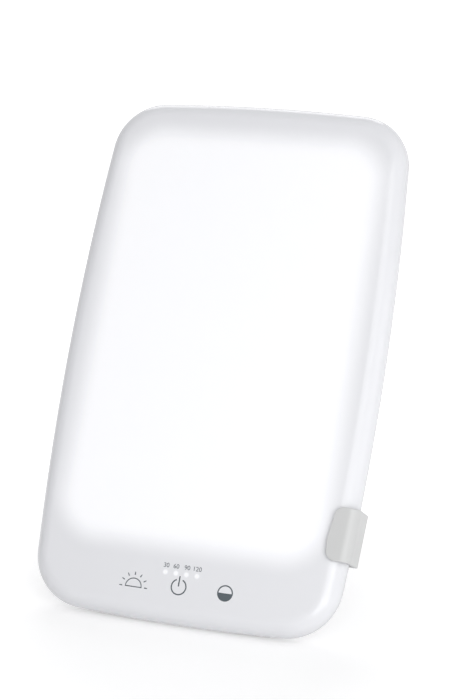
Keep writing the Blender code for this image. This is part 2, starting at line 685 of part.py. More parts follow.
def touch_springs():
    # each spring carries one touch field's charge from the front cover's inner face to the board
    low = FRONT_INNER + SEAT_GAP + SPRING_WIRE_RADIUS
    high = BOARD_FRONT - SEAT_GAP - SPRING_WIRE_RADIUS
    steps = int(SPRING_TURNS * SPRING_STEPS)
    points = []
    for step in range(steps + 1):
        turn = 2 * pi * step / SPRING_STEPS
        points.append((SPRING_RADIUS * cos(turn), SPRING_RADIUS * sin(turn), (high - low) * step / steps))
    pitch = (high - low) / SPRING_TURNS
    print(f"touch spring: least gap between turns {1000 * (pitch - 2 * SPRING_WIRE_RADIUS):.2f} mm")
    for number, x in enumerate((-TOUCH_PITCH, 0.0, TOUCH_PITCH), 1):
        wire(f"touch_spring_{number}", points, SPRING_WIRE_RADIUS, SPRING_SIDES_RESOLUTION, copper,
             panel_frame, (x, low, TOUCH_LINE), TO_BACK)


def timer_lights():
    width, rise, height = TIMER_LED
    hole = hypot(width, height) / 2 + SEAT_GAP
    places = [TIMER_SHIFT + (n - (TIMER_COUNT - 1) / 2) * TIMER_PITCH for n in range(TIMER_COUNT)]
    ends = (places[0] - hole - MASK_END / 2, places[-1] + hole + MASK_END / 2)
    loops = [rounded_box(*ends, TIMER_LINE - MASK_HEIGHT / 2, TIMER_LINE + MASK_HEIGHT / 2,
                         MASK_HEIGHT / 4, MASK_HEIGHT / 4, SMALLEST_FILLET_STEPS)]
    loops += [circle(x, TIMER_LINE, hole) for x in places]
    seat = BOARD_FRONT - SEAT_GAP
    plate("timer_light_mask", loops, FRONT_INNER + SEAT_GAP, seat, black_plastic, panel_frame)
    for number, x in enumerate(places, 1):
        bm = bmesh.new()
        add_box(bm, (-width / 2, -rise, -height / 2), (width / 2, 0.0, height / 2))
        name = f"timer_led_{number}"
        solid(name, finished(name, bm), led_yellow, panel_frame, (x, seat, TIMER_LINE))


def board_components():
    half = BOARD_WIDTH / 2
    chip = bmesh.new()
    add_box(chip, (-CHIP_WIDTH / 2, 0.0, -CHIP_WIDTH / 2), (CHIP_WIDTH / 2, CHIP_RISE, CHIP_WIDTH / 2))
    solid("control_chip", finished("control_chip", chip), black_plastic, panel_frame,
          (CHIP_PLACE_SHARE * half, BAY_FRONT, BOARD_CENTRE))

    rise = INDUCTOR_RISE_SHARE * BAY_DEPTH
    flange = INDUCTOR_FLANGE_SHARE * rise
    waist = INDUCTOR_RADIUS - INDUCTOR_WAIST
    drum = [(0.0, rise), (INDUCTOR_RADIUS, rise), (INDUCTOR_RADIUS, rise - flange), (waist, rise - flange),
            (waist, flange), (INDUCTOR_RADIUS, flange), (INDUCTOR_RADIUS, 0.0), (0.0, 0.0)]
    turned("inductor", drum, copper, panel_frame, (INDUCTOR_PLACE_SHARE * half, BAY_FRONT, BOARD_CENTRE))

    # the capacitors stand in a row that ends a clearance short of the right lead's plug
    rise = CAPACITOR_RISE_SHARE * BAY_DEPTH
    groove = CAPACITOR_GROOVE_SHARE * CAPACITOR_RADIUS
    rims = [share * rise for share in CAPACITOR_GROOVE_SHARES]
    can = [(0.0, rise), (CAPACITOR_RADIUS - groove, rise), (CAPACITOR_RADIUS, rise - groove),
           (CAPACITOR_RADIUS, rims[0]), (CAPACITOR_RADIUS - groove, rims[1]),
           (CAPACITOR_RADIUS, rims[2]), (CAPACITOR_RADIUS, 0.0), (0.0, 0.0)]
    last = half - PLUG_SIDE_EDGE - PLUG_SIZE[0] / 2 - CAPACITOR_CLEARANCE - CAPACITOR_RADIUS
    for number in (1, 2):
        place = (last - (2 - number) * CAPACITOR_PITCH, BAY_FRONT, BOARD_TOP - CAPACITOR_EDGE)
        turned(f"capacitor_{number}", can, black_plastic, panel_frame, place)


def socket_side():
    return SOCKET_EDGE - BOARD_WIDTH / 2


def power_socket():
    # a round bore with a centre pin, let into the rear cover; local y starts at the board
    snout = REAR_DEPTH - SEAT_GAP - BAY_FRONT
    body = bmesh.new()
    half = SOCKET_WIDTH / 2
    add_box(body, (-half, 0.0, -half), (half, BAY_DEPTH, half))
    place = (socket_side(), BAY_FRONT, BOARD_CENTRE)
    socket = solid("power_socket", finished("power_socket", body), black_plastic, panel_frame, place)
    nose = bmesh.new()
    add_rod(nose, SOCKET_SNOUT_RADIUS, (0.0, BAY_DEPTH / 2, 0.0), (0.0, snout, 0.0))
    combine(socket, solid("socket_snout", finished("socket_snout", nose), None, panel_frame, place), "UNION")
    ring = [circle(0.0, 0.0, SOCKET_BORE_RADIUS), circle(0.0, 0.0, SOCKET_PIN_RADIUS)]
    combine(socket, plate("socket_bore", ring, SOCKET_FLOOR, snout + CUT_OVERRUN, None, panel_frame,
                          place=place), "DIFFERENCE")


def smooth_route(anchors):
    # points along a smooth curve through the route's own points
    points = []
    padded = [anchors[0], *anchors, anchors[-1]]
    for before, start, end, after in zip(padded, padded[1:], padded[2:], padded[3:]):
        for step in range(LEAD_STEPS):
            t = step / LEAD_STEPS
            points.append(0.5 * (2 * start + (end - before) * t
                                 + (2 * before - 5 * start + 4 * end - after) * t ** 2
                                 + (3 * start - before - 3 * end + after) * t ** 3))
    return points + [anchors[-1]]


def led_leads():
    across, depth, height = PLUG_SIZE
    side = BOARD_WIDTH / 2 - PLUG_SIDE_EDGE
    top = BOARD_TOP - PLUG_TOP_EDGE
    run = BAY_FRONT + depth / 2
    strip_back = GUIDE_FRONT + GUIDE_THICKNESS / 2 + STRIP_DEPTH / 2
    for facing, word in ((-1, "left"), (1, "right")):
        plug = bmesh.new()
        add_box(plug, (-across / 2, 0.0, -height), (across / 2, depth, 0.0))
        solid(f"lead_plug_{word}", finished(f"lead_plug_{word}", plug), film_white, panel_frame,
              (facing * side, BAY_FRONT, top))
        hole_x, hole_z = lead_hole(facing)
        turn = GUIDE_BOTTOM
        route = [Vector((facing * side, run, top + SEAT_GAP)),
                 Vector((facing * side, run, (top + turn) / 2)),
                 Vector((facing * (side + (turn - top) / 2), run, turn)),
                 Vector(((facing * side + hole_x) / 2, run, turn)),
                 Vector((hole_x - facing * (hole_z - turn) / 2, run, (turn + hole_z) / 2)),
                 Vector((hole_x, SPREADER_BACK + 3 * LEAD_RADIUS, hole_z)),
                 Vector((hole_x, SPREADER_BACK, hole_z)),
                 Vector((hole_x, strip_back + SEAT_GAP, hole_z))]
        wire(f"led_lead_{word}", smooth_route(route), LEAD_RADIUS, LEAD_SIDES_RESOLUTION, lead_insulation,
             panel_frame)


def rubber_feet():
    # the soles lie flat on the floor, and the case's own form cuts their cradles
    cradle = case_form("foot_cradle", SEAT_GAP)
    for facing, word in ((-1, "left"), (1, "right")):
        half = FOOT_WIDTH / 2
        loop = rounded_box(-half, half, -FOOT_LENGTH / 2, FOOT_LENGTH / 2, FOOT_CORNER, FOOT_CORNER,
                           SMALL_FILLET_STEPS)
        name = f"{word}_foot"
        foot = plate(name, [loop], -FOOT_HEIGHT / 2, FOOT_HEIGHT / 2, rubber, lamp_frame, LEVEL)
        foot.location = (facing * FOOT_SPREAD, FOOT_CONTACT + FOOT_SETBACK, FOOT_HEIGHT / 2)
        combine(foot, cradle, "DIFFERENCE")


def channel_form(name, wall):
    # the clip's form round the case, with round corners, as steep as the case's bowed side is there
    tilt = asin(-CLIP_LINE / bow_radius(PANEL_HEIGHT / 2, SIDE_BOW))
    place = (half_width(CLIP_LINE) + SEAT_GAP + wall, 0.0, CLIP_LINE)
    front = -FRONT_DEPTH - SEAT_GAP - wall
    back = STRAP_INNER + wall
    front_radius = CLIP_FRONT_RADIUS - STRAP_WALL + wall
    back_radius = CLIP_BACK_RADIUS - STRAP_WALL + wall
    loop = arc((-front_radius, front + front_radius), front_radius, -pi / 2, 0.0, FILLET_STEPS)
    loop += arc((-back_radius, back - back_radius), back_radius, 0.0, pi / 2, FILLET_STEPS)
    loop += [(-PANEL_WIDTH, back), (-PANEL_WIDTH, front)]
    return plate(name, [loop], -CLIP_WIDTH, CLIP_WIDTH, None, panel_frame, (0.0, tilt, 0.0), place)


def stand_bracket():
    half = CLIP_WIDTH / 2
    beyond = PANEL_WIDTH / 2 + STRAP_WALL + CUT_OVERRUN
    low = CLIP_LINE - half
    high = CLIP_LINE + half
    corner = CLIP_CORNER
    upper_lip = half_width(high) - LIP_REACH + corner
    lower_lip = half_width(low) - LIP_REACH + corner
    front = arc((upper_lip, high - corner), corner, pi / 2, pi, FILLET_STEPS)
    front += arc((lower_lip, low + corner), corner, pi, 3 * pi / 2, FILLET_STEPS)
    front += [(beyond, low), (beyond, high)]
    back = arc((corner - STRAP_REACH, high - corner), corner, pi / 2, pi, FILLET_STEPS)
    back += arc((corner - STRAP_REACH, low + corner), corner, pi, 3 * pi / 2, FILLET_STEPS)
    back += [(beyond, low), (beyond, high)]
    reach = STRAP_OUTER + CUT_OVERRUN
    bracket = plate("stand_bracket", [front], -FRONT_DEPTH - STRAP_WALL - CUT_OVERRUN, JOIN_SINK,
                    grey_plastic, panel_frame)
    combine(bracket, plate("strap_back", [back], 0.0, reach, None, panel_frame), "UNION")
    combine(bracket, channel_form("strap_outer", STRAP_WALL), "INTERSECT")
    combine(bracket, channel_form("strap_inner", 0.0), "DIFFERENCE")

    # the pad's pocket in the strap's inner face
    pad = rounded_box(-PAD_WIDTH / 2, PAD_WIDTH / 2, CLIP_LINE - PAD_HEIGHT / 2, CLIP_LINE + PAD_HEIGHT / 2,
                      PAD_CORNER, PAD_CORNER, SMALL_FILLET_STEPS)
    grown = PAD_WIDTH / 2 + SEAT_GAP
    tall = PAD_HEIGHT / 2 + SEAT_GAP
    pocket = rounded_box(-grown, grown, CLIP_LINE - tall, CLIP_LINE + tall, PAD_CORNER + SEAT_GAP,
                         PAD_CORNER + SEAT_GAP, SMALL_FILLET_STEPS)
    combine(bracket, plate("pad_pocket", [pocket], STRAP_INNER - CUT_OVERRUN,
                           STRAP_INNER + PAD_THICKNESS + SEAT_GAP, None, panel_frame), "DIFFERENCE")
    plate("stand_pad", [pad], STRAP_INNER, STRAP_INNER + PAD_THICKNESS, rubber, panel_frame)

    # two ears that widen towards the strap
    root = STRAP_OUTER - JOIN_SINK
    ear = arc((HINGE_BACK, CLIP_LINE), EAR_RADIUS, -EAR_SWEEP, EAR_SWEEP, EAR_STEPS)
    ear += [(root, CLIP_LINE + EAR_BASE), (root, CLIP_LINE - EAR_BASE)]
    for facing, word in ((-1, "left"), (1, "right")):
        ends = sorted((facing * EAR_INNER, facing * EAR_OUTER))
        combine(bracket, plate(f"ear_{word}", [ear], *ends, None, panel_frame, FACING_RIGHT), "UNION")
    bore = bmesh.new()
    reach = EAR_OUTER + CUT_OVERRUN
    add_rod(bore, BOLT_RADIUS + SEAT_GAP, (-reach, HINGE_BACK, CLIP_LINE), (reach, HINGE_BACK, CLIP_LINE))
    combine(bracket, solid("ear_bore", finished("ear_bore", bore), None, panel_frame), "DIFFERENCE")


def hinge_hardware():
    place = Vector((0.0, HINGE_BACK, CLIP_LINE))
    crown = BOLT_CROWN_SHARE * BOLT_HEAD_RADIUS
    seat = EAR_OUTER + SEAT_GAP
    end = seat + NUT_HEIGHT + BOLT_END
    bolt = [(0.0, seat + BOLT_HEAD_HEIGHT), (BOLT_HEAD_RADIUS - crown, seat + BOLT_HEAD_HEIGHT),
            (BOLT_HEAD_RADIUS, seat + BOLT_HEAD_HEIGHT - crown), (BOLT_HEAD_RADIUS, seat),
            (BOLT_RADIUS, seat), (BOLT_RADIUS, BOLT_END / 2 - end), (BOLT_RADIUS - BOLT_END / 2, -end),
            (0.0, -end)]
    turned("hinge_bolt", bolt, steel, panel_frame, place, TO_RIGHT)
    hexagon = arc((0.0, 0.0), NUT_RADIUS, 0.0, 2 * pi, NUT_SIDES)[:-1]
    bore = circle(0.0, 0.0, BOLT_RADIUS + SEAT_GAP)
    plate("hinge_nut", [hexagon, bore], -seat - NUT_HEIGHT, -seat, steel, panel_frame, FACING_RIGHT, place)
    low = HUB_WIDTH / 2 + SEAT_GAP
    for facing, word in ((-1, "left"), (1, "right")):
        ends = sorted((facing * low, facing * (low + WASHER_THICKNESS)))
        plate(f"hinge_washer_{word}", [circle(0.0, 0.0, WASHER_RADIUS), bore], *ends, black_plastic,
              panel_frame, FACING_RIGHT, place)


def leg_half_width(share):
    # straight at the neck, then an even flare to the foot
    flare = (1 - cos(pi * min(max(share, 0.0), 1.0))) / 2
    return HUB_WIDTH / 2 + (LEG_FOOT_WIDTH - HUB_WIDTH) / 2 * flare


def stand_leg():
    # the leg runs up its frame's z axis from the hinge, with its ribbed side to the front when folded
    neck = EAR_RADIUS + LEG_NECK
    end = LEG_LENGTH - SHOE_RADIUS - SEAT_GAP
    outer = LEG_WEB / 2
    inner = RIM_SETBACK - HUB_RADIUS

    def side(low, high, inset, steps):
        heights = [low + (high - low) * step / steps for step in range(steps + 1)]
        return [(leg_half_width((height - neck) / (end - neck)) - inset, height) for height in heights]

    right = [(HUB_WIDTH / 2, 0.0)] + side(neck, end, 0.0, LEG_FLARE_STEPS)
    loop = right + [(-x, z) for x, z in reversed(right)]
    leg = plate("stand_leg", [loop], inner, outer, grey_plastic, leg_frame)

    hub = bmesh.new()
    add_rod(hub, HUB_RADIUS, (-HUB_WIDTH / 2, 0.0, 0.0), (HUB_WIDTH / 2, 0.0, 0.0))
    combine(leg, solid("leg_hub", finished("leg_hub", hub), None, leg_frame), "UNION")
    bore = bmesh.new()
    reach = HUB_WIDTH / 2 + CUT_OVERRUN
    add_rod(bore, BOLT_RADIUS + SEAT_GAP, (-reach, 0.0, 0.0), (reach, 0.0, 0.0))
    combine(leg, solid("leg_bore", finished("leg_bore", bore), None, leg_frame), "DIFFERENCE")

    # pockets in pairs, which leave the rim, a spine and cross ribs standing on the web
    start = neck + LEG_RIM
    row = (end - start) / POCKET_ROWS
    loops = []
    for number in range(POCKET_ROWS):
        low = start + number * row
        high = low + row - LEG_RIM
        edge = side(low, high, LEG_RIM, POCKET_SIDE_STEPS)
        loops.append(edge + [(LEG_RIM / 2, high), (LEG_RIM / 2, low)])
        loops.append([(-x, z) for x, z in loops[-1]])
    combine(leg, plate("leg_pockets", loops, inner - CUT_OVERRUN, -outer, None, leg_frame), "DIFFERENCE")

    # the tongue that the shoe is pushed onto
    half = LEG_FOOT_WIDTH / 2 - SHOE_END_WALL - SEAT_GAP
    tongue = bmesh.new()
    add_box(tongue, (-half, -outer, end - LEG_RIM), (half, outer, LEG_LENGTH + TONGUE_REACH))
    combine(leg, solid("leg_tongue", finished("leg_tongue", tongue), None, leg_frame), "UNION")


def leg_shoe():
    half = LEG_FOOT_WIDTH / 2
    rounding = SHOE_END_RADIUS
    profile = [(0.0, half)]
    profile += [(SHOE_RADIUS - rounding + across, half - rounding + up)
                for across, up in arc((0.0, 0.0), rounding, pi / 2, 0.0, SMALLEST_FILLET_STEPS)]
    profile += [(radius, -height) for radius, height in reversed(profile)]
    place = Vector((0.0, 0.0, LEG_LENGTH))
    shoe = turned("leg_shoe", profile, rubber, leg_frame, place, TO_RIGHT)

    # the flat lies on the floor while the lamp stands, so its cutter is level then
    reach = half + CUT_OVERRUN
    sole = bmesh.new()
    add_box(sole, (-reach, -SHOE_RADIUS - CUT_OVERRUN, -SHOE_RADIUS - CUT_OVERRUN),
            (reach, SHOE_RADIUS + CUT_OVERRUN, SHOE_FLAT - SHOE_RADIUS))
    combine(shoe, solid("shoe_flat", finished("shoe_flat", sole), None, leg_frame, place,
                        (LEAN + LEG_OPENING, 0.0, 0.0)), "DIFFERENCE")
    slot = bmesh.new()
    wide = half - SHOE_END_WALL
    thick = LEG_WEB / 2 + SEAT_GAP
    add_box(slot, (-wide, -thick, -SHOE_RADIUS - CUT_OVERRUN), (wide, thick, TONGUE_REACH + SEAT_GAP))
    combine(shoe, solid("shoe_slot", finished("shoe_slot", slot), None, leg_frame, place), "DIFFERENCE")


def stand_on_origin():
    # shift the whole lamp so that the middle of its box's floor is the origin
    bpy.context.view_layer.update()
    graph = bpy.context.evaluated_depsgraph_get()
    corners = []
    for piece in parts.objects:
        if piece.type == "MESH":
            shape = piece.evaluated_get(graph)
            corners += [shape.matrix_world @ vertex.co for vertex in shape.to_mesh().vertices]
            shape.to_mesh_clear()
    low = [min(corner[axis] for corner in corners) for axis in range(3)]
    high = [max(corner[axis] for corner in corners) for axis in range(3)]
    lamp_frame.location = (-(low[0] + high[0]) / 2, -(low[1] + high[1]) / 2, -low[2])
    print("box", [round(1000 * (top - bottom), 2) for bottom, top in zip(low, high)], "mm")


front_cover()
rear_cover()
cover_screws()
board_screws()
light_stack()
heat_spreader()
led_strips()
control_board()
touch_springs()
timer_lights()
board_components()
power_socket()
led_leads()
rubber_feet()
stand_bracket()
hinge_hardware()
stand_leg()
leg_shoe()
stand_on_origin()
bpy.context.view_layer.update()
print("hinge axis at", [round(value, 5) for value in leg_frame.matrix_world.translation])
print("shoe axis at", [round(value, 5) for value in leg_frame.matrix_world @ Vector((0.0, 0.0, LEG_LENGTH))])
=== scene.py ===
import bmesh
import bpy
from math import asin, atan2, cos, hypot, pi, radians, sin, sqrt
from mathutils import Matrix, Vector


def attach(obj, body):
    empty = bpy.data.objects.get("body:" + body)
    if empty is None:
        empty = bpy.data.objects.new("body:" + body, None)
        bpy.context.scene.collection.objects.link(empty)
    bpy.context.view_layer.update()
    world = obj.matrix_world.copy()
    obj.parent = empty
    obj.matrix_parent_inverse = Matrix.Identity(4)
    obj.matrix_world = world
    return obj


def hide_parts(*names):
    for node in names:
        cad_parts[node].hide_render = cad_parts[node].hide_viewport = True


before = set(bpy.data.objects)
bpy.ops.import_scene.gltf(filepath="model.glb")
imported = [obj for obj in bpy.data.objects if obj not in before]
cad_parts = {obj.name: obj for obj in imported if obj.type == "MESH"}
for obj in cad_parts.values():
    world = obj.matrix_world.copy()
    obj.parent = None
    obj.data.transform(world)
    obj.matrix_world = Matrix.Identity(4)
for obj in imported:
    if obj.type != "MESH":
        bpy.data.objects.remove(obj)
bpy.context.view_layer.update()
print("CAD frame loaded:", len(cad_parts), "nodes")

# The lamp's case in its own frame, in metres: x to the right, y to the back, z up along the face
case = {
    "centre": (-0.00068, 0.00052, 0.15003),
    "lean": radians(31),
    "width": 0.2136, "height": 0.3449,
    "sideBow": 0.0079, "endBow": 0.0044,           # how far the sides and ends swell
    "corner": 0.0352,
    "frontDepth": 0.01175, "rearDepth": 0.0096,    # from the parting plane to the faces
    "land": 0.0006,                                # the straight rim before the round edge starts
    "seam": 0.0003,
    "wall": 0.002,
    "sideSteps": 9, "cornerSteps": 20, "endSteps": 6, "edgeSteps": 14,
    "flatBorder": 0.0012,
}
casePlace = Matrix.Translation(case["centre"]) @ Matrix.Rotation(-case["lean"], 4, "X")

stand = {
    "line": -0.1039,                               # the level of the clip and the hinge on the case
    "hingeBack": 0.0185,
    "hingeHeight": 0.051445, "shoeHeight": 0.0056,  # above the table
    "legLength": 0.088,
}
hingePlace = casePlace @ Matrix.Translation((0, stand["hingeBack"], stand["line"]))
legSlope = asin((stand["hingeHeight"] - stand["shoeHeight"]) / stand["legLength"])
legPlace = hingePlace @ Matrix.Rotation(case["lean"] - pi / 2 - legSlope, 4, "X")

# points nearer than these become one, and edges that turn more than these are sharp or get rounded
touching = {"mirror": 0.00002, "outline": 0.00001, "spun": 0.000002, "print": 0.000001, "cut": 0.0000001}
edgeTurns = {"sharp": radians(35), "rounded": radians(40)}
roundSides = 32            # of bores, rims and turned pieces

studio = {
    "cameraAt": (0.36958, -1.06869, 0.51681),
    "cameraTurn": (72.3433, 0.0, 18.777),          # degrees
    "lens": 94.66, "nearestSeen": 0.01,
    "ambient": 0.49, "ambientTint": (0.985, 0.985, 1.0),
    "floor": (0.85, 0.85, 0.85), "floorRough": 0.9, "floorGloss": 0.1, "floorRadius": 6.0, "floorSides": 48,
    "liftNear": 0.34, "liftFar": 0.7,              # how much of white the camera sees before any light
    "liftCentre": (0.03, -0.09, 0.0), "nearReach": 0.08, "farReach": 0.32,
}
softboxes = {
    # low on the right
    "key": {"at": (0.80, -1.05, 0.30), "aim": (0, 0, 0.15), "size": (0.9, 0.9), "power": 7.4},
    # weaker, above the key
    "front": {"at": (0.69, -1.19, 1.31), "aim": (0, 0, 0.15), "size": (1.2, 0.8), "power": 4.5},
    # long, with a reflection that runs down the right edge
    "side": {"at": (1.63, -0.145, 0.55), "aim": (0.105, 0, 0.13), "size": (1.57, 0.5), "power": 2.0,
             "along": (0.228, 0.816, -0.49)},
    # behind the lamp, whose shadow it draws on the floor in front
    "back": {"at": (-0.25, 0.75, 0.85), "aim": (0, -0.1, 0), "size": (0.8, 0.5), "power": 2.2},
}


def addCamera():
    lens = bpy.data.cameras.new("camera")
    lens.lens = studio["lens"]
    lens.clip_start = studio["nearestSeen"]
    camera = bpy.data.objects.new("camera", lens)
    camera.location = studio["cameraAt"]
    camera.rotation_euler = [radians(turn) for turn in studio["cameraTurn"]]
    bpy.context.scene.collection.objects.link(camera)
    bpy.context.scene.camera = camera


def addSoftbox(name, at, aim, size, power, along=None):
    light = bpy.data.lights.new(name, "AREA")
    light.shape = "RECTANGLE"
    light.size, light.size_y = size
    light.energy = power
    lamp = bpy.data.objects.new(name, light)
    lamp.location = at
    turn = (Vector(aim) - Vector(at)).to_track_quat("-Z", "Y").to_matrix()
    if along:
        # the box's long side runs along the given line
        back = turn.col[2].copy()
        across = (Vector(along) - back * back.dot(Vector(along))).normalized()
        turn = Matrix((across, back.cross(across), back)).transposed()
    lamp.rotation_euler = turn.to_euler()
    bpy.context.scene.collection.objects.link(lamp)


nodeGrid = (220, 180)      # columns and rows in the shader editor


def node(tree, kind, place=(0, 0), **settings):
    made = tree.nodes.new(kind)
    made.location = (place[0] * nodeGrid[0], place[1] * nodeGrid[1])
    for name, value in settings.items():
        setattr(made, name, value)
    return made


def setInputs(made, **values):
    # a socket's name is written without its spaces
    for name, value in values.items():
        socket = next(part for part in made.inputs if part.name.replace(" ", "") == name)
        socket.default_value = value


def math(tree, operation, first, second=None):
    made = node(tree, "ShaderNodeMath", operation=operation)
    for socket, value in zip(made.inputs, (first, second)):
        if value is None:
            continue
        if isinstance(value, (int, float)):
            socket.default_value = value
        else:
            tree.links.new(value, socket)
    return made.outputs[0]


def smoothStep(tree, value, fromMin, fromMax, toMin=1.0, toMax=0.0, place=(0, 0)):
    # from one level to the other, smoothly, between two values
    step = node(tree, "ShaderNodeMapRange", place, interpolation_type="SMOOTHSTEP")
    setInputs(step, FromMin=fromMin, FromMax=fromMax, ToMin=toMin, ToMax=toMax)
    tree.links.new(value, step.inputs["Value"])
    return step.outputs[0]


def seenDirectly(tree):
    # 1 for rays that show the background: the camera's, reflected and refracted ones
    path = node(tree, "ShaderNodeLightPath", (-5, 0))
    seen = math(tree, "MAXIMUM", path.outputs["Is Camera Ray"], path.outputs["Is Glossy Ray"])
    return math(tree, "MAXIMUM", seen, path.outputs["Is Transmission Ray"])


def addWorld():
    world = bpy.data.worlds.new("studio")
    world.use_nodes = True
    tree = world.node_tree
    tree.nodes.clear()
    out = node(tree, "ShaderNodeOutputWorld", (3, 0))
    mix = node(tree, "ShaderNodeMixShader", (2, 0))
    ambient = node(tree, "ShaderNodeBackground", (1, 1))
    setInputs(ambient, Strength=studio["ambient"], Color=(*studio["ambientTint"], 1))
    white = node(tree, "ShaderNodeBackground", (1, -1))
    setInputs(white, Color=(1, 1, 1, 1))
    tree.links.new(seenDirectly(tree), mix.inputs[0])
    tree.links.new(ambient.outputs[0], mix.inputs[1])
    tree.links.new(white.outputs[0], mix.inputs[2])
    tree.links.new(mix.outputs[0], out.inputs[0])
    bpy.context.scene.world = world


def addFloor():
    bm = bmesh.new()
    bmesh.ops.create_circle(bm, cap_ends=True, segments=studio["floorSides"], radius=studio["floorRadius"])
    mesh = bpy.data.meshes.new("floor")
    bm.to_mesh(mesh)
    bm.free()
    floor = bpy.data.objects.new("floor", mesh)
    bpy.context.scene.collection.objects.link(floor)
    look = bpy.data.materials.new("studioFloor")
    look.use_nodes = True
    tree = look.node_tree
    shader = tree.nodes["Principled BSDF"]
    setInputs(shader, BaseColor=(*studio["floor"], 1), Roughness=studio["floorRough"],
              SpecularIORLevel=studio["floorGloss"], EmissionStrength=1.0)
    # the lamps light the floor most near the object, so it lifts itself less there
    away = node(tree, "ShaderNodeVectorMath", (-4, -2), operation="DISTANCE")
    away.inputs[1].default_value = studio["liftCentre"]
    tree.links.new(node(tree, "ShaderNodeTexCoord", (-5, -2)).outputs["Object"], away.inputs[0])
    lift = smoothStep(tree, away.outputs["Value"], studio["nearReach"], studio["farReach"],
                      studio["liftNear"], studio["liftFar"], (-3, -2))
    tree.links.new(math(tree, "MULTIPLY", seenDirectly(tree), lift), shader.inputs["Emission Color"])
    mesh.materials.append(look)


bpy.context.scene.view_settings.view_transform = "Standard"
addCamera()
addWorld()
addFloor()
for boxName, boxSettings in softboxes.items():
    addSoftbox(boxName, **boxSettings)
print("studio ready")

waves = {"fineDetail": 3.0, "slowDetail": 1.0, "slowScale": 55.0}


def addSockets(tree, way, *names, kind="NodeSocketFloat"):
    for name in names:
        tree.interface.new_socket(name=name, in_out=way, socket_type=kind)


def mouldGrainGroup():
    # fine spark-eroded grain with a slow waviness below it, as injection-moulded plastic shows
    tree = bpy.data.node_groups.new("mouldGrain", "ShaderNodeTree")
    addSockets(tree, "INPUT", "Vector", kind="NodeSocketVector")
    addSockets(tree, "INPUT", "Grain Scale", "Waviness", "Roughness", "Spread")
    addSockets(tree, "OUTPUT", "Height", "Roughness")
    start = node(tree, "NodeGroupInput", (-5, 0))
    end = node(tree, "NodeGroupOutput", (4, 0))
    fine = node(tree, "ShaderNodeTexNoise", (-3, 1))
    setInputs(fine, Detail=waves["fineDetail"])
    tree.links.new(start.outputs["Vector"], fine.inputs["Vector"])
    tree.links.new(start.outputs["Grain Scale"], fine.inputs["Scale"])
    slow = node(tree, "ShaderNodeTexNoise", (-3, -1))
    setInputs(slow, Detail=waves["slowDetail"], Scale=waves["slowScale"])
    tree.links.new(start.outputs["Vector"], slow.inputs["Vector"])
    wave = math(tree, "MULTIPLY", slow.outputs["Fac"], start.outputs["Waviness"])
    height = math(tree, "ADD", fine.outputs["Fac"], wave)
    drift = math(tree, "SUBTRACT", slow.outputs["Fac"], 0.5)
    change = math(tree, "MULTIPLY", drift, start.outputs["Spread"])
    rough = math(tree, "ADD", start.outputs["Roughness"], change)
    tree.links.new(height, end.inputs["Height"])
    tree.links.new(rough, end.inputs["Roughness"])
    return tree


def softPatchGroup():
    # 1 inside a round-cornered field of the case's face, falling softly to 0 outside it
    tree = bpy.data.node_groups.new("softPatch", "ShaderNodeTree")
    addSockets(tree, "INPUT", "Vector", kind="NodeSocketVector")
    addSockets(tree, "INPUT", "Centre Up", "Half Width", "Half Height", "Corner", "Softness")
    addSockets(tree, "OUTPUT", "Mask")
    start = node(tree, "NodeGroupInput", (-6, 0))
    end = node(tree, "NodeGroupOutput", (5, 0))
    parts = node(tree, "ShaderNodeSeparateXYZ", (-5, 0))
    tree.links.new(start.outputs["Vector"], parts.inputs[0])
    across = math(tree, "ABSOLUTE", parts.outputs["X"])
    up = math(tree, "ABSOLUTE", math(tree, "SUBTRACT", parts.outputs["Z"], start.outputs["Centre Up"]))
    squares = []
    for along, half in ((across, "Half Width"), (up, "Half Height")):
        inner = math(tree, "SUBTRACT", start.outputs[half], start.outputs["Corner"])
        beyond = math(tree, "MAXIMUM", math(tree, "SUBTRACT", along, inner), 0.0)
        squares.append(math(tree, "MULTIPLY", beyond, beyond))
    distance = math(tree, "SQRT", math(tree, "ADD", *squares))
    outside = math(tree, "SUBTRACT", distance, start.outputs["Corner"])
    share = math(tree, "DIVIDE", outside, start.outputs["Softness"])
    tree.links.new(smoothStep(tree, share, -1.0, 1.0, place=(3, 0)), end.inputs["Mask"])
    return tree


mouldGrain = mouldGrainGroup()
softPatch = softPatchGroup()


def newLook(name, colour, rough, metal=0.0):
    look = bpy.data.materials.new(name)
    look.use_nodes = True
    shader = look.node_tree.nodes["Principled BSDF"]
    setInputs(shader, BaseColor=(*colour, 1), Roughness=rough, Metallic=metal)
    return look, look.node_tree, shader


def objectPoint(tree, place=None):
    # where a point lies on its piece, or in the case's own frame
    spot = node(tree, "ShaderNodeTexCoord", (-8, 0)).outputs["Object"]
    if place is None:
        return spot
    turn = node(tree, "ShaderNodeMapping", (-7, 0), vector_type="TEXTURE")
    setInputs(turn, Location=place.translation, Rotation=place.to_euler())
    tree.links.new(spot, turn.inputs["Vector"])
    return turn.outputs[0]


def addGrain(tree, shader, spot, rough, scale, depth, spread, waviness=0.3):
    grain = node(tree, "ShaderNodeGroup", (-4, -1), node_tree=mouldGrain)
    setInputs(grain, GrainScale=scale, Waviness=waviness, Roughness=rough, Spread=spread)
    tree.links.new(spot, grain.inputs["Vector"])
    bump = node(tree, "ShaderNodeBump", (-2, -1))
    setInputs(bump, Strength=1.0, Distance=depth)
    tree.links.new(grain.outputs["Height"], bump.inputs["Height"])
    tree.links.new(bump.outputs[0], shader.inputs["Normal"])
    tree.links.new(grain.outputs["Roughness"], shader.inputs["Roughness"])


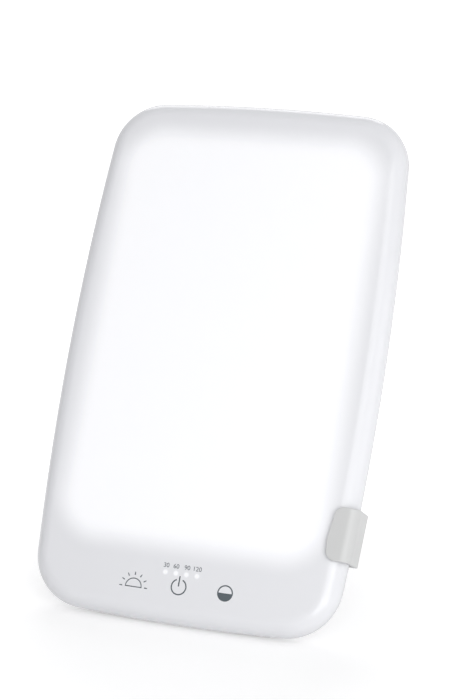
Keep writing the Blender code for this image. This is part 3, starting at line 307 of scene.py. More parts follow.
opalCover = {
    "colour": (0.84, 0.845, 0.87),
    "rough": 0.16,
    "grain": {"scale": 900.0, "depth": 0.0000012, "spread": 0.05},
    "glow": 0.232,
    "litUp": 0.012, "litHalfWidth": 0.0885, "litHalfHeight": 0.137, "litCorner": 0.028, "litSoft": 0.0105,
    "dots": 4, "dotPitch": 0.007, "dotShift": 0.0004, "dotLine": -0.14145,
    "dotCore": 0.0005, "dotFade": 0.0023,
}


def timerDots(tree, spot):
    # the timer lights that shine through the case's face: one cell of the row each
    parts = node(tree, "ShaderNodeSeparateXYZ", (-6, 2))
    tree.links.new(spot, parts.inputs[0])
    shifted = math(tree, "SUBTRACT", parts.outputs["X"], opalCover["dotShift"])
    cell = math(tree, "FRACT", math(tree, "DIVIDE", shifted, opalCover["dotPitch"]))
    across = math(tree, "MULTIPLY", math(tree, "SUBTRACT", cell, 0.5), opalCover["dotPitch"])
    up = math(tree, "SUBTRACT", parts.outputs["Z"], opalCover["dotLine"])
    squares = [math(tree, "MULTIPLY", side, side) for side in (across, up)]
    away = math(tree, "SQRT", math(tree, "ADD", *squares))
    fade = smoothStep(tree, away, opalCover["dotCore"], opalCover["dotFade"], place=(-2, 2))
    halfRow = opalCover["dots"] / 2 * opalCover["dotPitch"]
    inRow = math(tree, "LESS_THAN", math(tree, "ABSOLUTE", shifted), halfRow)
    return math(tree, "MULTIPLY", fade, inRow)


def opalLook():
    look, tree, shader = newLook("opalPlastic", opalCover["colour"], opalCover["rough"])
    spot = objectPoint(tree, casePlace)
    addGrain(tree, shader, spot, opalCover["rough"], **opalCover["grain"])
    lit = node(tree, "ShaderNodeGroup", (-4, 1), node_tree=softPatch)
    setInputs(lit, CentreUp=opalCover["litUp"], HalfWidth=opalCover["litHalfWidth"],
              HalfHeight=opalCover["litHalfHeight"], Corner=opalCover["litCorner"],
              Softness=opalCover["litSoft"])
    tree.links.new(spot, lit.inputs["Vector"])
    glow = math(tree, "MAXIMUM", lit.outputs["Mask"], timerDots(tree, spot))
    tree.links.new(glow, shader.inputs["Emission Color"])
    setInputs(shader, EmissionStrength=opalCover["glow"])
    return look


# scale: grains in a metre, depth: their height in metres, spread: how far the roughness drifts
finishes = {
    "shell": {"name": "shellPlastic", "colour": (0.80, 0.80, 0.82), "rough": 0.36,
              "grain": {"scale": 2600.0, "depth": 0.000009, "spread": 0.08}},
    "clip": {"name": "clipPlastic", "colour": (0.64, 0.645, 0.64), "rough": 0.36,
             "grain": {"scale": 3200.0, "depth": 0.00001, "spread": 0.1}},
    "rubber": {"name": "paleRubber", "colour": (0.50, 0.50, 0.49), "rough": 0.72,
               "grain": {"scale": 1500.0, "depth": 0.00002, "spread": 0.2}},
    "steel": {"name": "zincSteel", "colour": (0.62, 0.63, 0.64), "rough": 0.32, "metal": 1.0,
              "grain": {"scale": 1800.0, "depth": 0.000004, "spread": 0.35, "waviness": 1.5}},
    "black": {"name": "blackPlastic", "colour": (0.03, 0.03, 0.032), "rough": 0.4,
              "grain": {"scale": 2200.0, "depth": 0.000008, "spread": 0.15}},
    "ink": {"name": "printedInk", "colour": (0.085, 0.105, 0.12), "rough": 0.45,
            "grain": {"scale": 5000.0, "depth": 0.000002, "spread": 0.1}},
    "film": {"name": "whiteFilm", "colour": (0.88, 0.88, 0.86), "rough": 0.5,
             "grain": {"scale": 1200.0, "depth": 0.000005, "spread": 0.1}},
    "aluminium": {"name": "rolledAluminium", "colour": (0.70, 0.71, 0.72), "rough": 0.35, "metal": 1.0,
                  "grain": {"scale": 900.0, "depth": 0.000006, "spread": 0.25}},
    "board": {"name": "greenBoard", "colour": (0.03, 0.20, 0.09), "rough": 0.4,
              "grain": {"scale": 1500.0, "depth": 0.00001, "spread": 0.2}},
    "led": {"name": "yellowPhosphor", "colour": (0.85, 0.72, 0.30), "rough": 0.4,
            "grain": {"scale": 2500.0, "depth": 0.000006, "spread": 0.1}},
    "copper": {"name": "copperWire", "colour": (0.62, 0.32, 0.18), "rough": 0.35, "metal": 1.0,
               "grain": {"scale": 1500.0, "depth": 0.000004, "spread": 0.2}},
    "lead": {"name": "redInsulation", "colour": (0.45, 0.04, 0.03), "rough": 0.5,
             "grain": {"scale": 1500.0, "depth": 0.000006, "spread": 0.15}},
    "acrylic": {"name": "clearAcrylic", "colour": (0.86, 0.92, 0.95), "rough": 0.06,
                "grain": {"scale": 700.0, "depth": 0.000001, "spread": 0.03}},
}


def grainedLook(name, colour, rough, grain, metal=0.0):
    look, tree, shader = newLook(name, colour, rough, metal)
    addGrain(tree, shader, objectPoint(tree), rough, **grain)
    return look


looks = {"opal": opalLook()}
for finishName, finish in finishes.items():
    looks[finishName] = grainedLook(**finish)
print("finishes ready:", len(looks))


def vertsOf(parts):
    return [part for part in parts if isinstance(part, bmesh.types.BMVert)]


def edgesOf(parts):
    return [part for part in parts if isinstance(part, bmesh.types.BMEdge)]


def edgesAt(verts):
    return list(dict.fromkeys(edge for vert in verts for edge in vert.link_edges))


def facesOut(bm):
    bmesh.ops.recalc_face_normals(bm, faces=bm.faces[:])


def spunArc(bm, start, centre, turn, steps, axis=(0, -1, 0)):
    spun = bmesh.ops.spin(bm, geom=[start], cent=centre, axis=axis, dvec=(0, 0, 0), angle=turn, steps=steps)
    return vertsOf(spun["geom_last"])[0]


def bowRadius(half, bow):
    return (half * half + bow * bow) / (2 * bow)


def caseOutline():
    # one quarter is spun round the centres of its three arcs, then mirrored twice
    side = bowRadius(case["height"] / 2, case["sideBow"])
    end = bowRadius(case["width"] / 2, case["endBow"])
    sideX = case["width"] / 2 - side
    endZ = case["height"] / 2 - end
    apart = hypot(sideX, endZ)
    along = (apart ** 2 + (side - case["corner"]) ** 2 - (end - case["corner"]) ** 2) / (2 * apart)
    off = sqrt((side - case["corner"]) ** 2 - along ** 2)
    cornerX = sideX - (along * sideX + off * endZ) / apart
    cornerZ = (along * endZ - off * sideX) / apart
    sideTurn = atan2(cornerZ, cornerX - sideX)
    endTurn = atan2(cornerZ - endZ, cornerX)
    bm = bmesh.new()
    point = bm.verts.new((case["width"] / 2, 0, 0))
    point = spunArc(bm, point, (sideX, 0, 0), sideTurn, case["sideSteps"])
    point = spunArc(bm, point, (cornerX, 0, cornerZ), endTurn - sideTurn, case["cornerSteps"])
    spunArc(bm, point, (0, 0, endZ), pi / 2 - endTurn, case["endSteps"])
    for way in ("X", "Z"):
        bmesh.ops.mirror(bm, geom=bm.verts[:] + bm.edges[:], axis=way, merge_dist=touching["mirror"])
    bmesh.ops.remove_doubles(bm, verts=bm.verts, dist=touching["outline"])
    return bm


def domed(facing, depth):
    # the outline's face drawn forward over its land, then inset step by step round the edge
    bm = caseOutline()
    rim = case["seam"] / 2
    face = bmesh.ops.contextual_create(bm, geom=bm.edges[:])["faces"][0]
    face.normal_update()
    if face.normal.y * facing < 0:
        bmesh.ops.reverse_faces(bm, faces=[face])
    bmesh.ops.translate(bm, verts=bm.verts, vec=(0, facing * rim, 0))
    raised = bmesh.ops.extrude_discrete_faces(bm, faces=[face])["faces"][0]
    bmesh.ops.translate(bm, verts=raised.verts, vec=(0, facing * (case["land"] - rim), 0))
    radius = depth - case["land"]
    inset, rise = 0.0, 0.0
    for step in range(1, case["edgeSteps"] + 1):
        turn = pi / 2 * step / case["edgeSteps"]
        nextInset, nextRise = radius * (1 - cos(turn)), radius * sin(turn)
        raised.normal_update()
        bmesh.ops.inset_region(bm, faces=[raised], thickness=nextInset - inset, depth=nextRise - rise,
                               use_even_offset=True)
        inset, rise = nextInset, nextRise
    bmesh.ops.inset_region(bm, faces=[raised], thickness=case["flatBorder"], depth=0.0, use_even_offset=True)
    return bm, raised


def finishPiece(bm, name, body, look, place=None, replaces=()):
    if place is not None:
        bmesh.ops.transform(bm, matrix=place, verts=bm.verts)
    mesh = bpy.data.meshes.new(name)
    bm.to_mesh(mesh)
    bm.free()
    mesh.shade_smooth()
    mesh.set_sharp_from_angle(angle=edgeTurns["sharp"])
    mesh.materials.append(looks[look])
    piece = bpy.data.objects.new(name, mesh)
    bpy.context.scene.collection.objects.link(piece)
    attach(piece, body)
    if replaces:
        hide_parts(*replaces)
    return piece


def addWall(piece, thickness, offset, even=True):
    wall = piece.modifiers.new("wall", "SOLIDIFY")
    wall.thickness = thickness
    wall.offset = offset
    wall.use_even_offset = even


def roundEdges(piece, width, segments=3):
    edge = piece.modifiers.new("edges", "BEVEL")
    edge.width = width
    edge.segments = segments
    edge.limit_method = "ANGLE"
    edge.angle_limit = edgeTurns["rounded"]
    edge.harden_normals = True


def frontCover():
    bm = domed(-1, case["frontDepth"])[0]
    cover = finishPiece(bm, "frontCover", "housing", "opal", casePlace, ("front_cover",))
    addWall(cover, case["wall"], -1)


screws = {
    # across and up from the case's middle, and how high the well's floor lies
    "places": [(0.05757, 0.158, 0.0010), (0.0713, -0.1271, 0.0010), (0.0613, -0.1565, 0.00415)],
    "well": 0.0032, "lead": 0.0004,
    "head": 0.0029, "headHeight": 0.002, "gap": 0.0003, "sides": 24,
    "crownShare": 0.62, "shoulderShare": 0.55, "fallShares": (0.12, 0.33, 0.55),
    "shankShare": 0.48, "shank": 0.0098,
    "crossReach": 0.0017, "crossHalf": 0.00035, "crossDepth": 0.0011, "crossTaper": 0.8,
}
socket = {
    "at": (-0.038, -0.1475), "hole": 0.0049, "mouth": 0.0093, "floor": 0.0004, "boardSide": -0.0011,
    "bore": 0.0032, "snout": 0.0046, "half": 0.0045, "edge": 0.0004, "rim": 0.0003,
    "pin": 0.0010, "pinTipShare": 0.6, "pinSunk": 0.0012, "pinTaper": 0.0005, "pinSides": 20,
}


def ringAt(bm, x, y, z, radius, sides=roundSides):
    place = Matrix.Translation((x, y, z)) @ Matrix.Rotation(pi / 2, 4, "X")
    made = bmesh.ops.create_circle(bm, cap_ends=False, segments=sides, radius=radius, matrix=place)
    return edgesAt(made["verts"])


def drawRing(bm, edges, centre, steps):
    # draw a hole's edge inwards through (scale, depth) steps, and hand back its last ring
    for scale, depth in steps:
        drawn = bmesh.ops.extrude_edge_only(bm, edges=edges)["geom"]
        edges = edgesOf(drawn)
        verts = vertsOf(drawn)
        bmesh.ops.scale(bm, vec=(scale, 1, scale), verts=verts, space=Matrix.Translation(-Vector(centre)))
        bmesh.ops.translate(bm, verts=verts, vec=(0, depth, 0))
    return edges


def screwPlaces():
    return [(side * x, z, floor) for x, z, floor in screws["places"] for side in (-1, 1)]


def rearCover():
    bm, face = domed(1, case["rearDepth"])
    back, lead = case["rearDepth"], screws["lead"]
    rim = list(face.edges)
    bmesh.ops.delete(bm, geom=[face], context="FACES_ONLY")
    places = [(x, z, screws["well"], floor) for x, z, floor in screwPlaces()]
    places.append((*socket["at"], socket["hole"], back - case["wall"]))
    holes = []
    for x, z, radius, floor in places:
        holes.append((ringAt(bm, x, back, z, radius + lead), (x, back, z), radius, floor))
    loops = rim + [edge for hole in holes for edge in hole[0]]
    bmesh.ops.triangle_fill(bm, edges=loops, use_beauty=True, normal=(0, 1, 0))
    for ring, centre, radius, floor in holes:
        # a small round lead-in, then the wall down to the floor
        wide = radius + lead
        first = radius + lead * (1 - sin(pi / 4))
        steps = [(first / wide, -lead * (1 - cos(pi / 4))), (radius / first, -lead * cos(pi / 4)),
                 (1.0, floor + lead - back)]
        last = drawRing(bm, ring, centre, steps)
        if radius == screws["well"]:
            bmesh.ops.contextual_create(bm, geom=last)
    facesOut(bm)
    if max(bm.faces, key=lambda part: part.calc_area()).normal.y < 0:
        bmesh.ops.reverse_faces(bm, faces=bm.faces[:])
    cover = finishPiece(bm, "rearCover", "housing", "shell", casePlace, ("rear_cover",))
    addWall(cover, case["wall"] / 2, -1, even=False)


def crossLoop(bm, y, reach, half):
    # the screwdriver's cross: one arm's end drawn round in four quarter turns
    corners = []
    for turn in range(4):
        spin = Matrix.Rotation(turn * pi / 2, 3, "Y")
        corners += [bm.verts.new(Vector((0, y, 0)) + spin @ Vector(point))
                    for point in ((half, 0, half), (reach, 0, half), (reach, 0, -half))]
    return [bm.edges.new((first, second)) for first, second in zip(corners, corners[1:] + corners[:1])]


def addScrewHeads():
    top = screws["headHeight"]
    crown = screws["head"] * screws["crownShare"]
    whole = screws["head"] / crown
    shoulder = 1 + (whole - 1) * screws["shoulderShare"]
    falls = [-share * top for share in screws["fallShares"]]
    skirtSteps = [(shoulder, falls[0]), (whole / shoulder, falls[1]), (1.0, falls[2]),
                  (screws["shankShare"], 0.0), (1.0, -screws["shank"])]
    for number, (x, z, floor) in enumerate(screwPlaces(), 1):
        bm = bmesh.new()
        rim = ringAt(bm, 0, top, 0, crown, screws["sides"])
        cross = crossLoop(bm, top, screws["crossReach"], screws["crossHalf"])
        bmesh.ops.triangle_fill(bm, edges=rim + cross, use_beauty=True, normal=(0, 1, 0))
        for edges, steps in ((cross, [(screws["crossTaper"], -screws["crossDepth"])]), (rim, skirtSteps)):
            bmesh.ops.contextual_create(bm, geom=drawRing(bm, edges, (0, top, 0), steps))
        facesOut(bm)
        bmesh.ops.translate(bm, verts=bm.verts, vec=(x, floor + screws["gap"], z))
        finishPiece(bm, f"coverScrew{number}", "housing", "steel", casePlace,
                    (f"cover_screw_{number}",))


def spunProfile(bm, profile, centre, axis, steps=roundSides):
    # (radius, along) points drawn as one line and spun fully round the axis
    centre, axis = Vector(centre), Vector(axis)
    side = axis.orthogonal().normalized()
    points = [bm.verts.new(centre + side * radius + axis * along) for radius, along in profile]
    edges = [bm.edges.new(pair) for pair in zip(points, points[1:])]
    bmesh.ops.spin(bm, geom=points + edges, cent=centre, axis=axis, dvec=(0, 0, 0), angle=2 * pi,
                   steps=steps, use_merge=True)
    bmesh.ops.remove_doubles(bm, verts=bm.verts, dist=touching["spun"])


def roundedBlock(bm, low, high, radius, segments=3):
    low, high = Vector(low), Vector(high)
    place = Matrix.Translation((low + high) / 2) @ Matrix.Diagonal(high - low).to_4x4()
    made = bmesh.ops.create_cube(bm, size=1.0, matrix=place)
    bmesh.ops.bevel(bm, geom=edgesAt(made["verts"]), offset=radius, offset_type="OFFSET", segments=segments,
                    profile=0.5, affect="EDGES", material=-1)


def powerSocket():
    bm = bmesh.new()
    x, z = socket["at"]
    half, floor, mouth, bore, snout = [socket[name] for name in ("half", "floor", "mouth", "bore", "snout")]
    edge, rim = socket["edge"], socket["rim"]
    roundedBlock(bm, (x - half, socket["boardSide"], z - half), (x + half, floor, z + half), edge)
    profile = [(0.0, floor), (bore, floor), (bore, mouth - edge), (bore + rim, mouth),
               (snout - rim, mouth), (snout, mouth - rim), (snout, floor)]
    spunProfile(bm, profile, (x, 0, z), (0, 1, 0))
    facesOut(bm)
    finishPiece(bm, "powerSocket", "housing", "black", casePlace, ("power_socket",))


def socketPin():
    bm = bmesh.new()
    x, z = socket["at"]
    pin, floor, tip = socket["pin"], socket["floor"], socket["mouth"] - socket["pinSunk"]
    profile = [(0.0, tip), (pin * socket["pinTipShare"], tip), (pin, tip - socket["pinTaper"]),
               (pin, floor), (0.0, floor)]
    spunProfile(bm, profile, (x, 0, z), (0, 1, 0), socket["pinSides"])
    facesOut(bm)
    finishPiece(bm, "socketPin", "housing", "steel", casePlace)


frontCover()
rearCover()
addScrewHeads()
powerSocket()
socketPin()
print("covers, screws and socket made")

clip = {
    "width": 0.0334,
    "corner": 0.0058, "cornerCuts": 10,
    "lipReach": 0.0123,                            # how far the front lip covers the face
    "strapFrom": -0.03,                            # where the strap ends behind the case
    "gap": 0.0003,
    "wall": 0.003,
    "frontRound": 0.004, "backRound": 0.001,       # its inner face's corner radii
    "roundSteps": 10,
    "sheet": 0.16,                                 # long enough to reach past both ends before they are cut
    "edge": 0.0005,
}


def halfWidth(z):
    side = bowRadius(case["height"] / 2, case["sideBow"])
    return case["width"] / 2 - side + sqrt(side ** 2 - z ** 2)


def cutAway(bm, point, way):
    # takes off what lies beyond the plane, and hands back the cut's edges
    cut = bmesh.ops.bisect_plane(bm, geom=bm.verts[:] + bm.edges[:] + bm.faces[:], dist=touching["cut"],
                                 plane_co=point, plane_no=way, clear_outer=True)
    return edgesOf(cut["geom_cut"])


def cutRoundedEnd(bm, lowLeft, highLeft, low, high):
    # planes that touch the round-cornered end take off everything beyond it
    corner, cuts = clip["corner"], clip["cornerCuts"]
    slant = Vector((lowLeft - highLeft, 0, high - low - 2 * corner)).normalized()
    cutAway(bm, (lowLeft, 0, low + corner), (-slant.z, 0, slant.x))
    for left, centreZ, sign in ((lowLeft, low + corner, -1), (highLeft, high - corner, 1)):
        for step in range(1, cuts):
            turn = pi / 2 * step / cuts
            way = Vector((-cos(turn), 0, sign * sin(turn)))
            cutAway(bm, Vector((left + corner, 0, centreZ)) + corner * way, way)


def clipSheet(place, facing, depth, rounding, ends, low, high):
    # the inner face from the parting plane round one corner and along the case's front or back
    bm = bmesh.new()
    reach = depth + clip["gap"]
    start = bm.verts.new((0, 0, -clip["width"]))
    turning = bm.verts.new((0, facing * (reach - rounding), -clip["width"]))
    bm.edges.new((start, turning))
    centre = (-rounding, facing * (reach - rounding), 0)
    last = spunArc(bm, turning, centre, pi / 2, clip["roundSteps"], (0, 0, facing))
    far = bm.verts.new((-clip["sheet"], facing * reach, -clip["width"]))
    bm.edges.new((last, far))
    drawn = bmesh.ops.extrude_edge_only(bm, edges=bm.edges[:])["geom"]
    bmesh.ops.translate(bm, verts=vertsOf(drawn), vec=(0, 0, 2 * clip["width"]))
    bmesh.ops.transform(bm, matrix=place, verts=bm.verts)
    cutAway(bm, (0, 0, low), (0, 0, -1))
    cutAway(bm, (0, 0, high), (0, 0, 1))
    cutRoundedEnd(bm, *ends, low, high)
    facesOut(bm)
    if max(bm.faces, key=lambda part: part.calc_area()).normal.y * facing < 0:
        bmesh.ops.reverse_faces(bm, faces=bm.faces[:])
    return bm


def clipShape():
    # two sheets round the case's side, as steep as that side is at the clip, made one and given a wall
    line = stand["line"]
    low, high = line - clip["width"] / 2, line + clip["width"] / 2
    tilt = asin(-line / bowRadius(case["height"] / 2, case["sideBow"]))
    place = Matrix.Translation((halfWidth(line) + clip["gap"], 0, line)) @ Matrix.Rotation(tilt, 4, "Y")
    lips = [halfWidth(level) - clip["lipReach"] for level in (low, high)]
    straps = [clip["strapFrom"]] * 2
    halves = bmesh.new()
    for facing, depth, rounding, ends in ((-1, case["frontDepth"], clip["frontRound"], lips),
                                          (1, case["rearDepth"], clip["backRound"], straps)):
        bm = clipSheet(place, facing, depth, rounding, ends, low, high)
        mesh = bpy.data.meshes.new("half")
        bm.to_mesh(mesh)
        bm.free()
        halves.from_mesh(mesh)
        bpy.data.meshes.remove(mesh)
    bmesh.ops.remove_doubles(halves, verts=halves.verts, dist=touching["mirror"])
    piece = finishPiece(halves, "standClip", "stand", "clip", casePlace, ("stand_bracket",))
    addWall(piece, clip["wall"], 1)
    roundEdges(piece, clip["edge"])


hinge = {
    "centre": (0, stand["hingeBack"], stand["line"]),
    "earInner": 0.0134, "earOuter": 0.0179, "earRadius": 0.005, "earBase": 0.0078, "earRoot": 0.0123,
    "earSweep": radians(72), "earSteps": 18, "earEdge": 0.0005,
    "shank": 0.002, "seat": 0.0182, "head": 0.0036, "headHeight": 0.0022, "boltEnd": 0.0006,
    "crownIn": 0.0009, "crownFirst": (0.0003, 0.0004), "tipRound": 0.0003,
    "key": 0.0014, "keyDeep": 0.0013,
    "nut": 0.0037, "nutHeight": 0.0024, "nutPlay": 0.0001, "nutSides": 24, "nutEdge": 0.00025,
    "washer": 0.0042, "washerFrom": 0.0123, "washerWall": 0.0008, "washerPlay": 0.0003, "washerEdge": 0.0002,
}


def clipEars():
    back, line = hinge["centre"][1:]
    sweep, radius = hinge["earSweep"], hinge["earRadius"]
    thick = hinge["earOuter"] - hinge["earInner"]
    for side, word in ((-1, "Left"), (1, "Right")):
        bm = bmesh.new()
        inner = side * hinge["earInner"]
        first = bm.verts.new((inner, back + radius * cos(sweep), line - radius * sin(sweep)))
        last = spunArc(bm, first, (inner, back, line), 2 * sweep, hinge["earSteps"], (1, 0, 0))
        foot = [bm.verts.new((inner, hinge["earRoot"], line + way * hinge["earBase"])) for way in (1, -1)]
        for pair in ((last, foot[0]), (foot[0], foot[1]), (foot[1], first)):
            bm.edges.new(pair)
        plate = bmesh.ops.contextual_create(bm, geom=bm.edges[:])["faces"]
        drawn = bmesh.ops.extrude_face_region(bm, geom=plate)["geom"]
        bmesh.ops.translate(bm, verts=vertsOf(drawn), vec=(side * thick, 0, 0))
        facesOut(bm)
        ear = finishPiece(bm, f"hingeEar{word}", "stand", "clip", casePlace)
        roundEdges(ear, hinge["earEdge"])


def ringAcross(bm, x, radius, sides):
    # a ring round the hinge's axis
    place = Matrix.Translation((x, *hinge["centre"][1:])) @ Matrix.Rotation(pi / 2, 4, "Y")
    made = bmesh.ops.create_circle(bm, cap_ends=False, segments=sides, radius=radius, matrix=place)
    return edgesAt(made["verts"])


def hingeBolt():
    bm = bmesh.new()
    seat, head, shank, tip = hinge["seat"], hinge["head"], hinge["shank"], hinge["tipRound"]
    top = seat + hinge["headHeight"]
    end = -(seat + hinge["nutHeight"] + hinge["boltEnd"])
    crown = hinge["crownIn"]
    crownSide, crownFall = hinge["crownFirst"]
    rim = ringAcross(bm, top, head - crown, roundSides)
    hexagon = ringAcross(bm, top, hinge["key"], 6)
    bmesh.ops.triangle_fill(bm, edges=rim + hexagon, use_beauty=True, normal=(1, 0, 0))
    drawn = bmesh.ops.extrude_edge_only(bm, edges=hexagon)["geom"]
    bmesh.ops.translate(bm, verts=vertsOf(drawn), vec=(-hinge["keyDeep"], 0, 0))
    bmesh.ops.contextual_create(bm, geom=edgesOf(drawn))
    profile = [(head - crown, top), (head - crownSide, top - crownFall), (head, top - crown), (head, seat),
               (shank, seat), (shank, end + tip), (shank - tip, end), (0.0, end)]
    spunProfile(bm, profile, hinge["centre"], (1, 0, 0))
    facesOut(bm)
    finishPiece(bm, "hingeBolt", "stand", "steel", casePlace, ("hinge_bolt",))


def hingeNut():
    bm = bmesh.new()
    outer = ringAcross(bm, -hinge["seat"], hinge["nut"], 6)
    bore = ringAcross(bm, -hinge["seat"], hinge["shank"] + hinge["nutPlay"], hinge["nutSides"])
    bmesh.ops.triangle_fill(bm, edges=outer + bore, use_beauty=True, normal=(1, 0, 0))
    drawn = bmesh.ops.extrude_face_region(bm, geom=bm.faces[:])["geom"]
    bmesh.ops.translate(bm, verts=vertsOf(drawn), vec=(-hinge["nutHeight"], 0, 0))
    facesOut(bm)
    nut = finishPiece(bm, "hingeNut", "stand", "steel", casePlace, ("hinge_nut",))
    roundEdges(nut, hinge["nutEdge"], 2)


def hingeWashers():
    low, high = hinge["washerFrom"], hinge["washerFrom"] + hinge["washerWall"]
    wide, hole, edge = hinge["washer"], hinge["shank"] + hinge["washerPlay"], hinge["washerEdge"]
    profile = [(hole, low), (wide - edge, low), (wide, low + edge), (wide, high - edge),
               (wide - edge, high), (hole, high), (hole, low)]
    for side, word in ((-1, "left"), (1, "right")):
        bm = bmesh.new()
        spunProfile(bm, [(radius, side * along) for radius, along in profile], hinge["centre"], (1, 0, 0))
        facesOut(bm)
        finishPiece(bm, f"hingeWasher{word.title()}", "stand", "black", casePlace,
                    (f"hinge_washer_{word}",))


clipShape()
clipEars()
hingeBolt()
hingeNut()
hingeWashers()
print("clip and hinge made")

# The leg in its own frame: the hinge at the origin, z down the leg, y to the side that faces the table
leg = {
    "hub": 0.0048, "hubHalf": 0.012, "hubRound": 0.0004, "hubSides": 36, "bore": 0.0023,
    "top": 0.003, "neck": 0.0065, "end": 0.0817, "footHalf": 0.03,
    "front": -0.0047, "back": 0.0013, "rib": 0.001, "rows": 3, "rowSteps": 8,
    "pocketCorner": 0.0014, "cornerSteps": 4, "uprightFrom": 0.002, "uprightTurn": radians(50),
    "tongueIn": 0.0033, "tongueOver": 0.002, "tongueRound": 0.0003, "edge": 0.00035,
    "shoe": 0.006, "shoeRound": 0.0015, "shoeSteps": 4, "shoeSides": 40, "soleLift": 0.00001,
    "grooves": 9, "grooveWide": 0.0011, "grooveDeep": 0.0005,
}


def legHalf(z):
    share = min(max((z - leg["neck"]) / (leg["end"] - leg["neck"]), 0.0), 1.0)
    return leg["hubHalf"] + (leg["footHalf"] - leg["hubHalf"]) * (1 - cos(pi * share)) / 2


def ribbedFace(bm, levels):
    # drawn down the leg level by level, a rib's width inside the leg's sides
    rib, top = leg["rib"], levels[0]
    ends = [bm.verts.new((x, leg["front"], top)) for x in (rib - legHalf(top), 0.0, legHalf(top) - rib)]
    edges = [bm.edges.new(ends[:2]), bm.edges.new(ends[1:])]
    for above, below in zip(levels, levels[1:]):
        drawn = bmesh.ops.extrude_edge_only(bm, edges=edges)["geom"]
        verts = vertsOf(drawn)
        edges = [edge for edge in edgesOf(drawn) if all(vert in verts for vert in edge.verts)]
        bmesh.ops.translate(bm, verts=verts, vec=(0, 0, below - above))
        bmesh.ops.scale(bm, vec=((legHalf(below) - rib) / (legHalf(above) - rib), 1, 1), verts=verts)


def sinkPockets(bm, rows):
    rib = leg["rib"]
    sides = [edge for edge in bm.edges if edge.is_boundary
             and abs(edge.verts[0].co.z - edge.verts[1].co.z) > touching["outline"]]
    pockets = []
    for low, high in zip(rows, rows[1:]):
        for way in (-1, 1):
            pockets.append([face for face in bm.faces if low < face.calc_center_median().z < high
                            and face.calc_center_median().x * way > 0])
    for vert in vertsOf(bmesh.ops.extrude_edge_only(bm, edges=sides)["geom"]):
        vert.co.x += rib if vert.co.x > 0 else -rib
    for faces in pockets:
        bmesh.ops.inset_region(bm, faces=faces, thickness=rib, use_even_offset=True, use_boundary=True)
        down = bmesh.ops.extrude_face_region(bm, geom=faces)["geom"]
        bmesh.ops.delete(bm, geom=faces, context="FACES_ONLY")
        bmesh.ops.translate(bm, verts=vertsOf(down), vec=(0, -leg["back"] - leg["front"], 0))
    upright = [edge for edge in bm.edges if abs(edge.verts[0].co.y - edge.verts[1].co.y) > leg["uprightFrom"]
               and edge.calc_face_angle(0.0) > leg["uprightTurn"]]
    bmesh.ops.bevel(bm, geom=upright, offset=leg["pocketCorner"], offset_type="OFFSET",
                    segments=leg["cornerSteps"], profile=0.5, affect="EDGES", material=-1)


def standLeg():
    bm = bmesh.new()
    rib, back = leg["rib"], leg["back"]
    ribbed = leg["end"] - leg["neck"] - 2 * rib
    rows = [leg["neck"] + rib + ribbed * row / leg["rows"] for row in range(leg["rows"] + 1)]
    levels = [leg["top"], leg["neck"]]
    for low, high in zip(rows, rows[1:]):
        levels += [low + (high - low) * step / leg["rowSteps"] for step in range(leg["rowSteps"])]
    levels += [rows[-1], leg["end"]]
    ribbedFace(bm, levels)
    sinkPockets(bm, rows)
    # the sides drawn to the flat back, which closes the leg
    drawn = bmesh.ops.extrude_edge_only(bm, edges=[edge for edge in bm.edges if edge.is_boundary])["geom"]
    bmesh.ops.translate(bm, verts=vertsOf(drawn), vec=(0, back - leg["front"], 0))
    bmesh.ops.contextual_create(bm, geom=edgesOf(drawn))
    facesOut(bm)
    hub, half, bore, rounding = leg["hub"], leg["hubHalf"], leg["bore"], leg["hubRound"]
    profile = [(bore, -half), (hub - rounding, -half), (hub, rounding - half), (hub, half - rounding),
               (hub - rounding, half), (bore, half), (bore, -half)]
    spunProfile(bm, profile, (0, 0, 0), (1, 0, 0), leg["hubSides"])
    tongue, over = leg["footHalf"] - leg["tongueIn"], leg["tongueOver"]
    roundedBlock(bm, (-tongue, -back, leg["end"] - over), (tongue, back, stand["legLength"] + over),
                 leg["tongueRound"])
    facesOut(bm)
    piece = finishPiece(bm, "standLeg", "leg", "clip", legPlace, ("stand_leg",))
    roundEdges(piece, leg["edge"], 2)


def legShoe():
    bm = bmesh.new()
    half, radius, rounding, steps = leg["footHalf"], leg["shoe"], leg["shoeRound"], leg["shoeSteps"]
    cap = [(0.0, -half)]
    for step in range(steps + 1):
        turn = pi / 2 * step / steps
        cap.append((radius - rounding * (1 - sin(turn)), -half + rounding * (1 - cos(turn))))
    grooves = []
    wide, deep = leg["grooveWide"], leg["grooveDeep"]
    pitch = 2 * (half - rounding) / (leg["grooves"] + 1)
    for number in range(leg["grooves"]):
        middle = rounding - half + pitch * (number + 1)
        grooves += [(radius, middle - wide / 2), (radius - deep, middle - wide / 4),
                    (radius - deep, middle + wide / 4), (radius, middle + wide / 2)]
    otherCap = [(across, -along) for across, along in reversed(cap)]
    spunProfile(bm, cap + grooves + otherCap, (0, 0, 0), (1, 0, 0), leg["shoeSides"])
    facesOut(bm)
    bmesh.ops.transform(bm, matrix=legPlace @ Matrix.Translation((0, 0, stand["legLength"])), verts=bm.verts)
    # the flat that it stands on
    sole = cutAway(bm, (0, 0, leg["soleLift"]), (0, 0, -1))
    bmesh.ops.holes_fill(bm, edges=sole, sides=0)
    finishPiece(bm, "legShoe", "leg", "rubber", replaces=("leg_shoe",))


standLeg()
legShoe()
print("leg made")

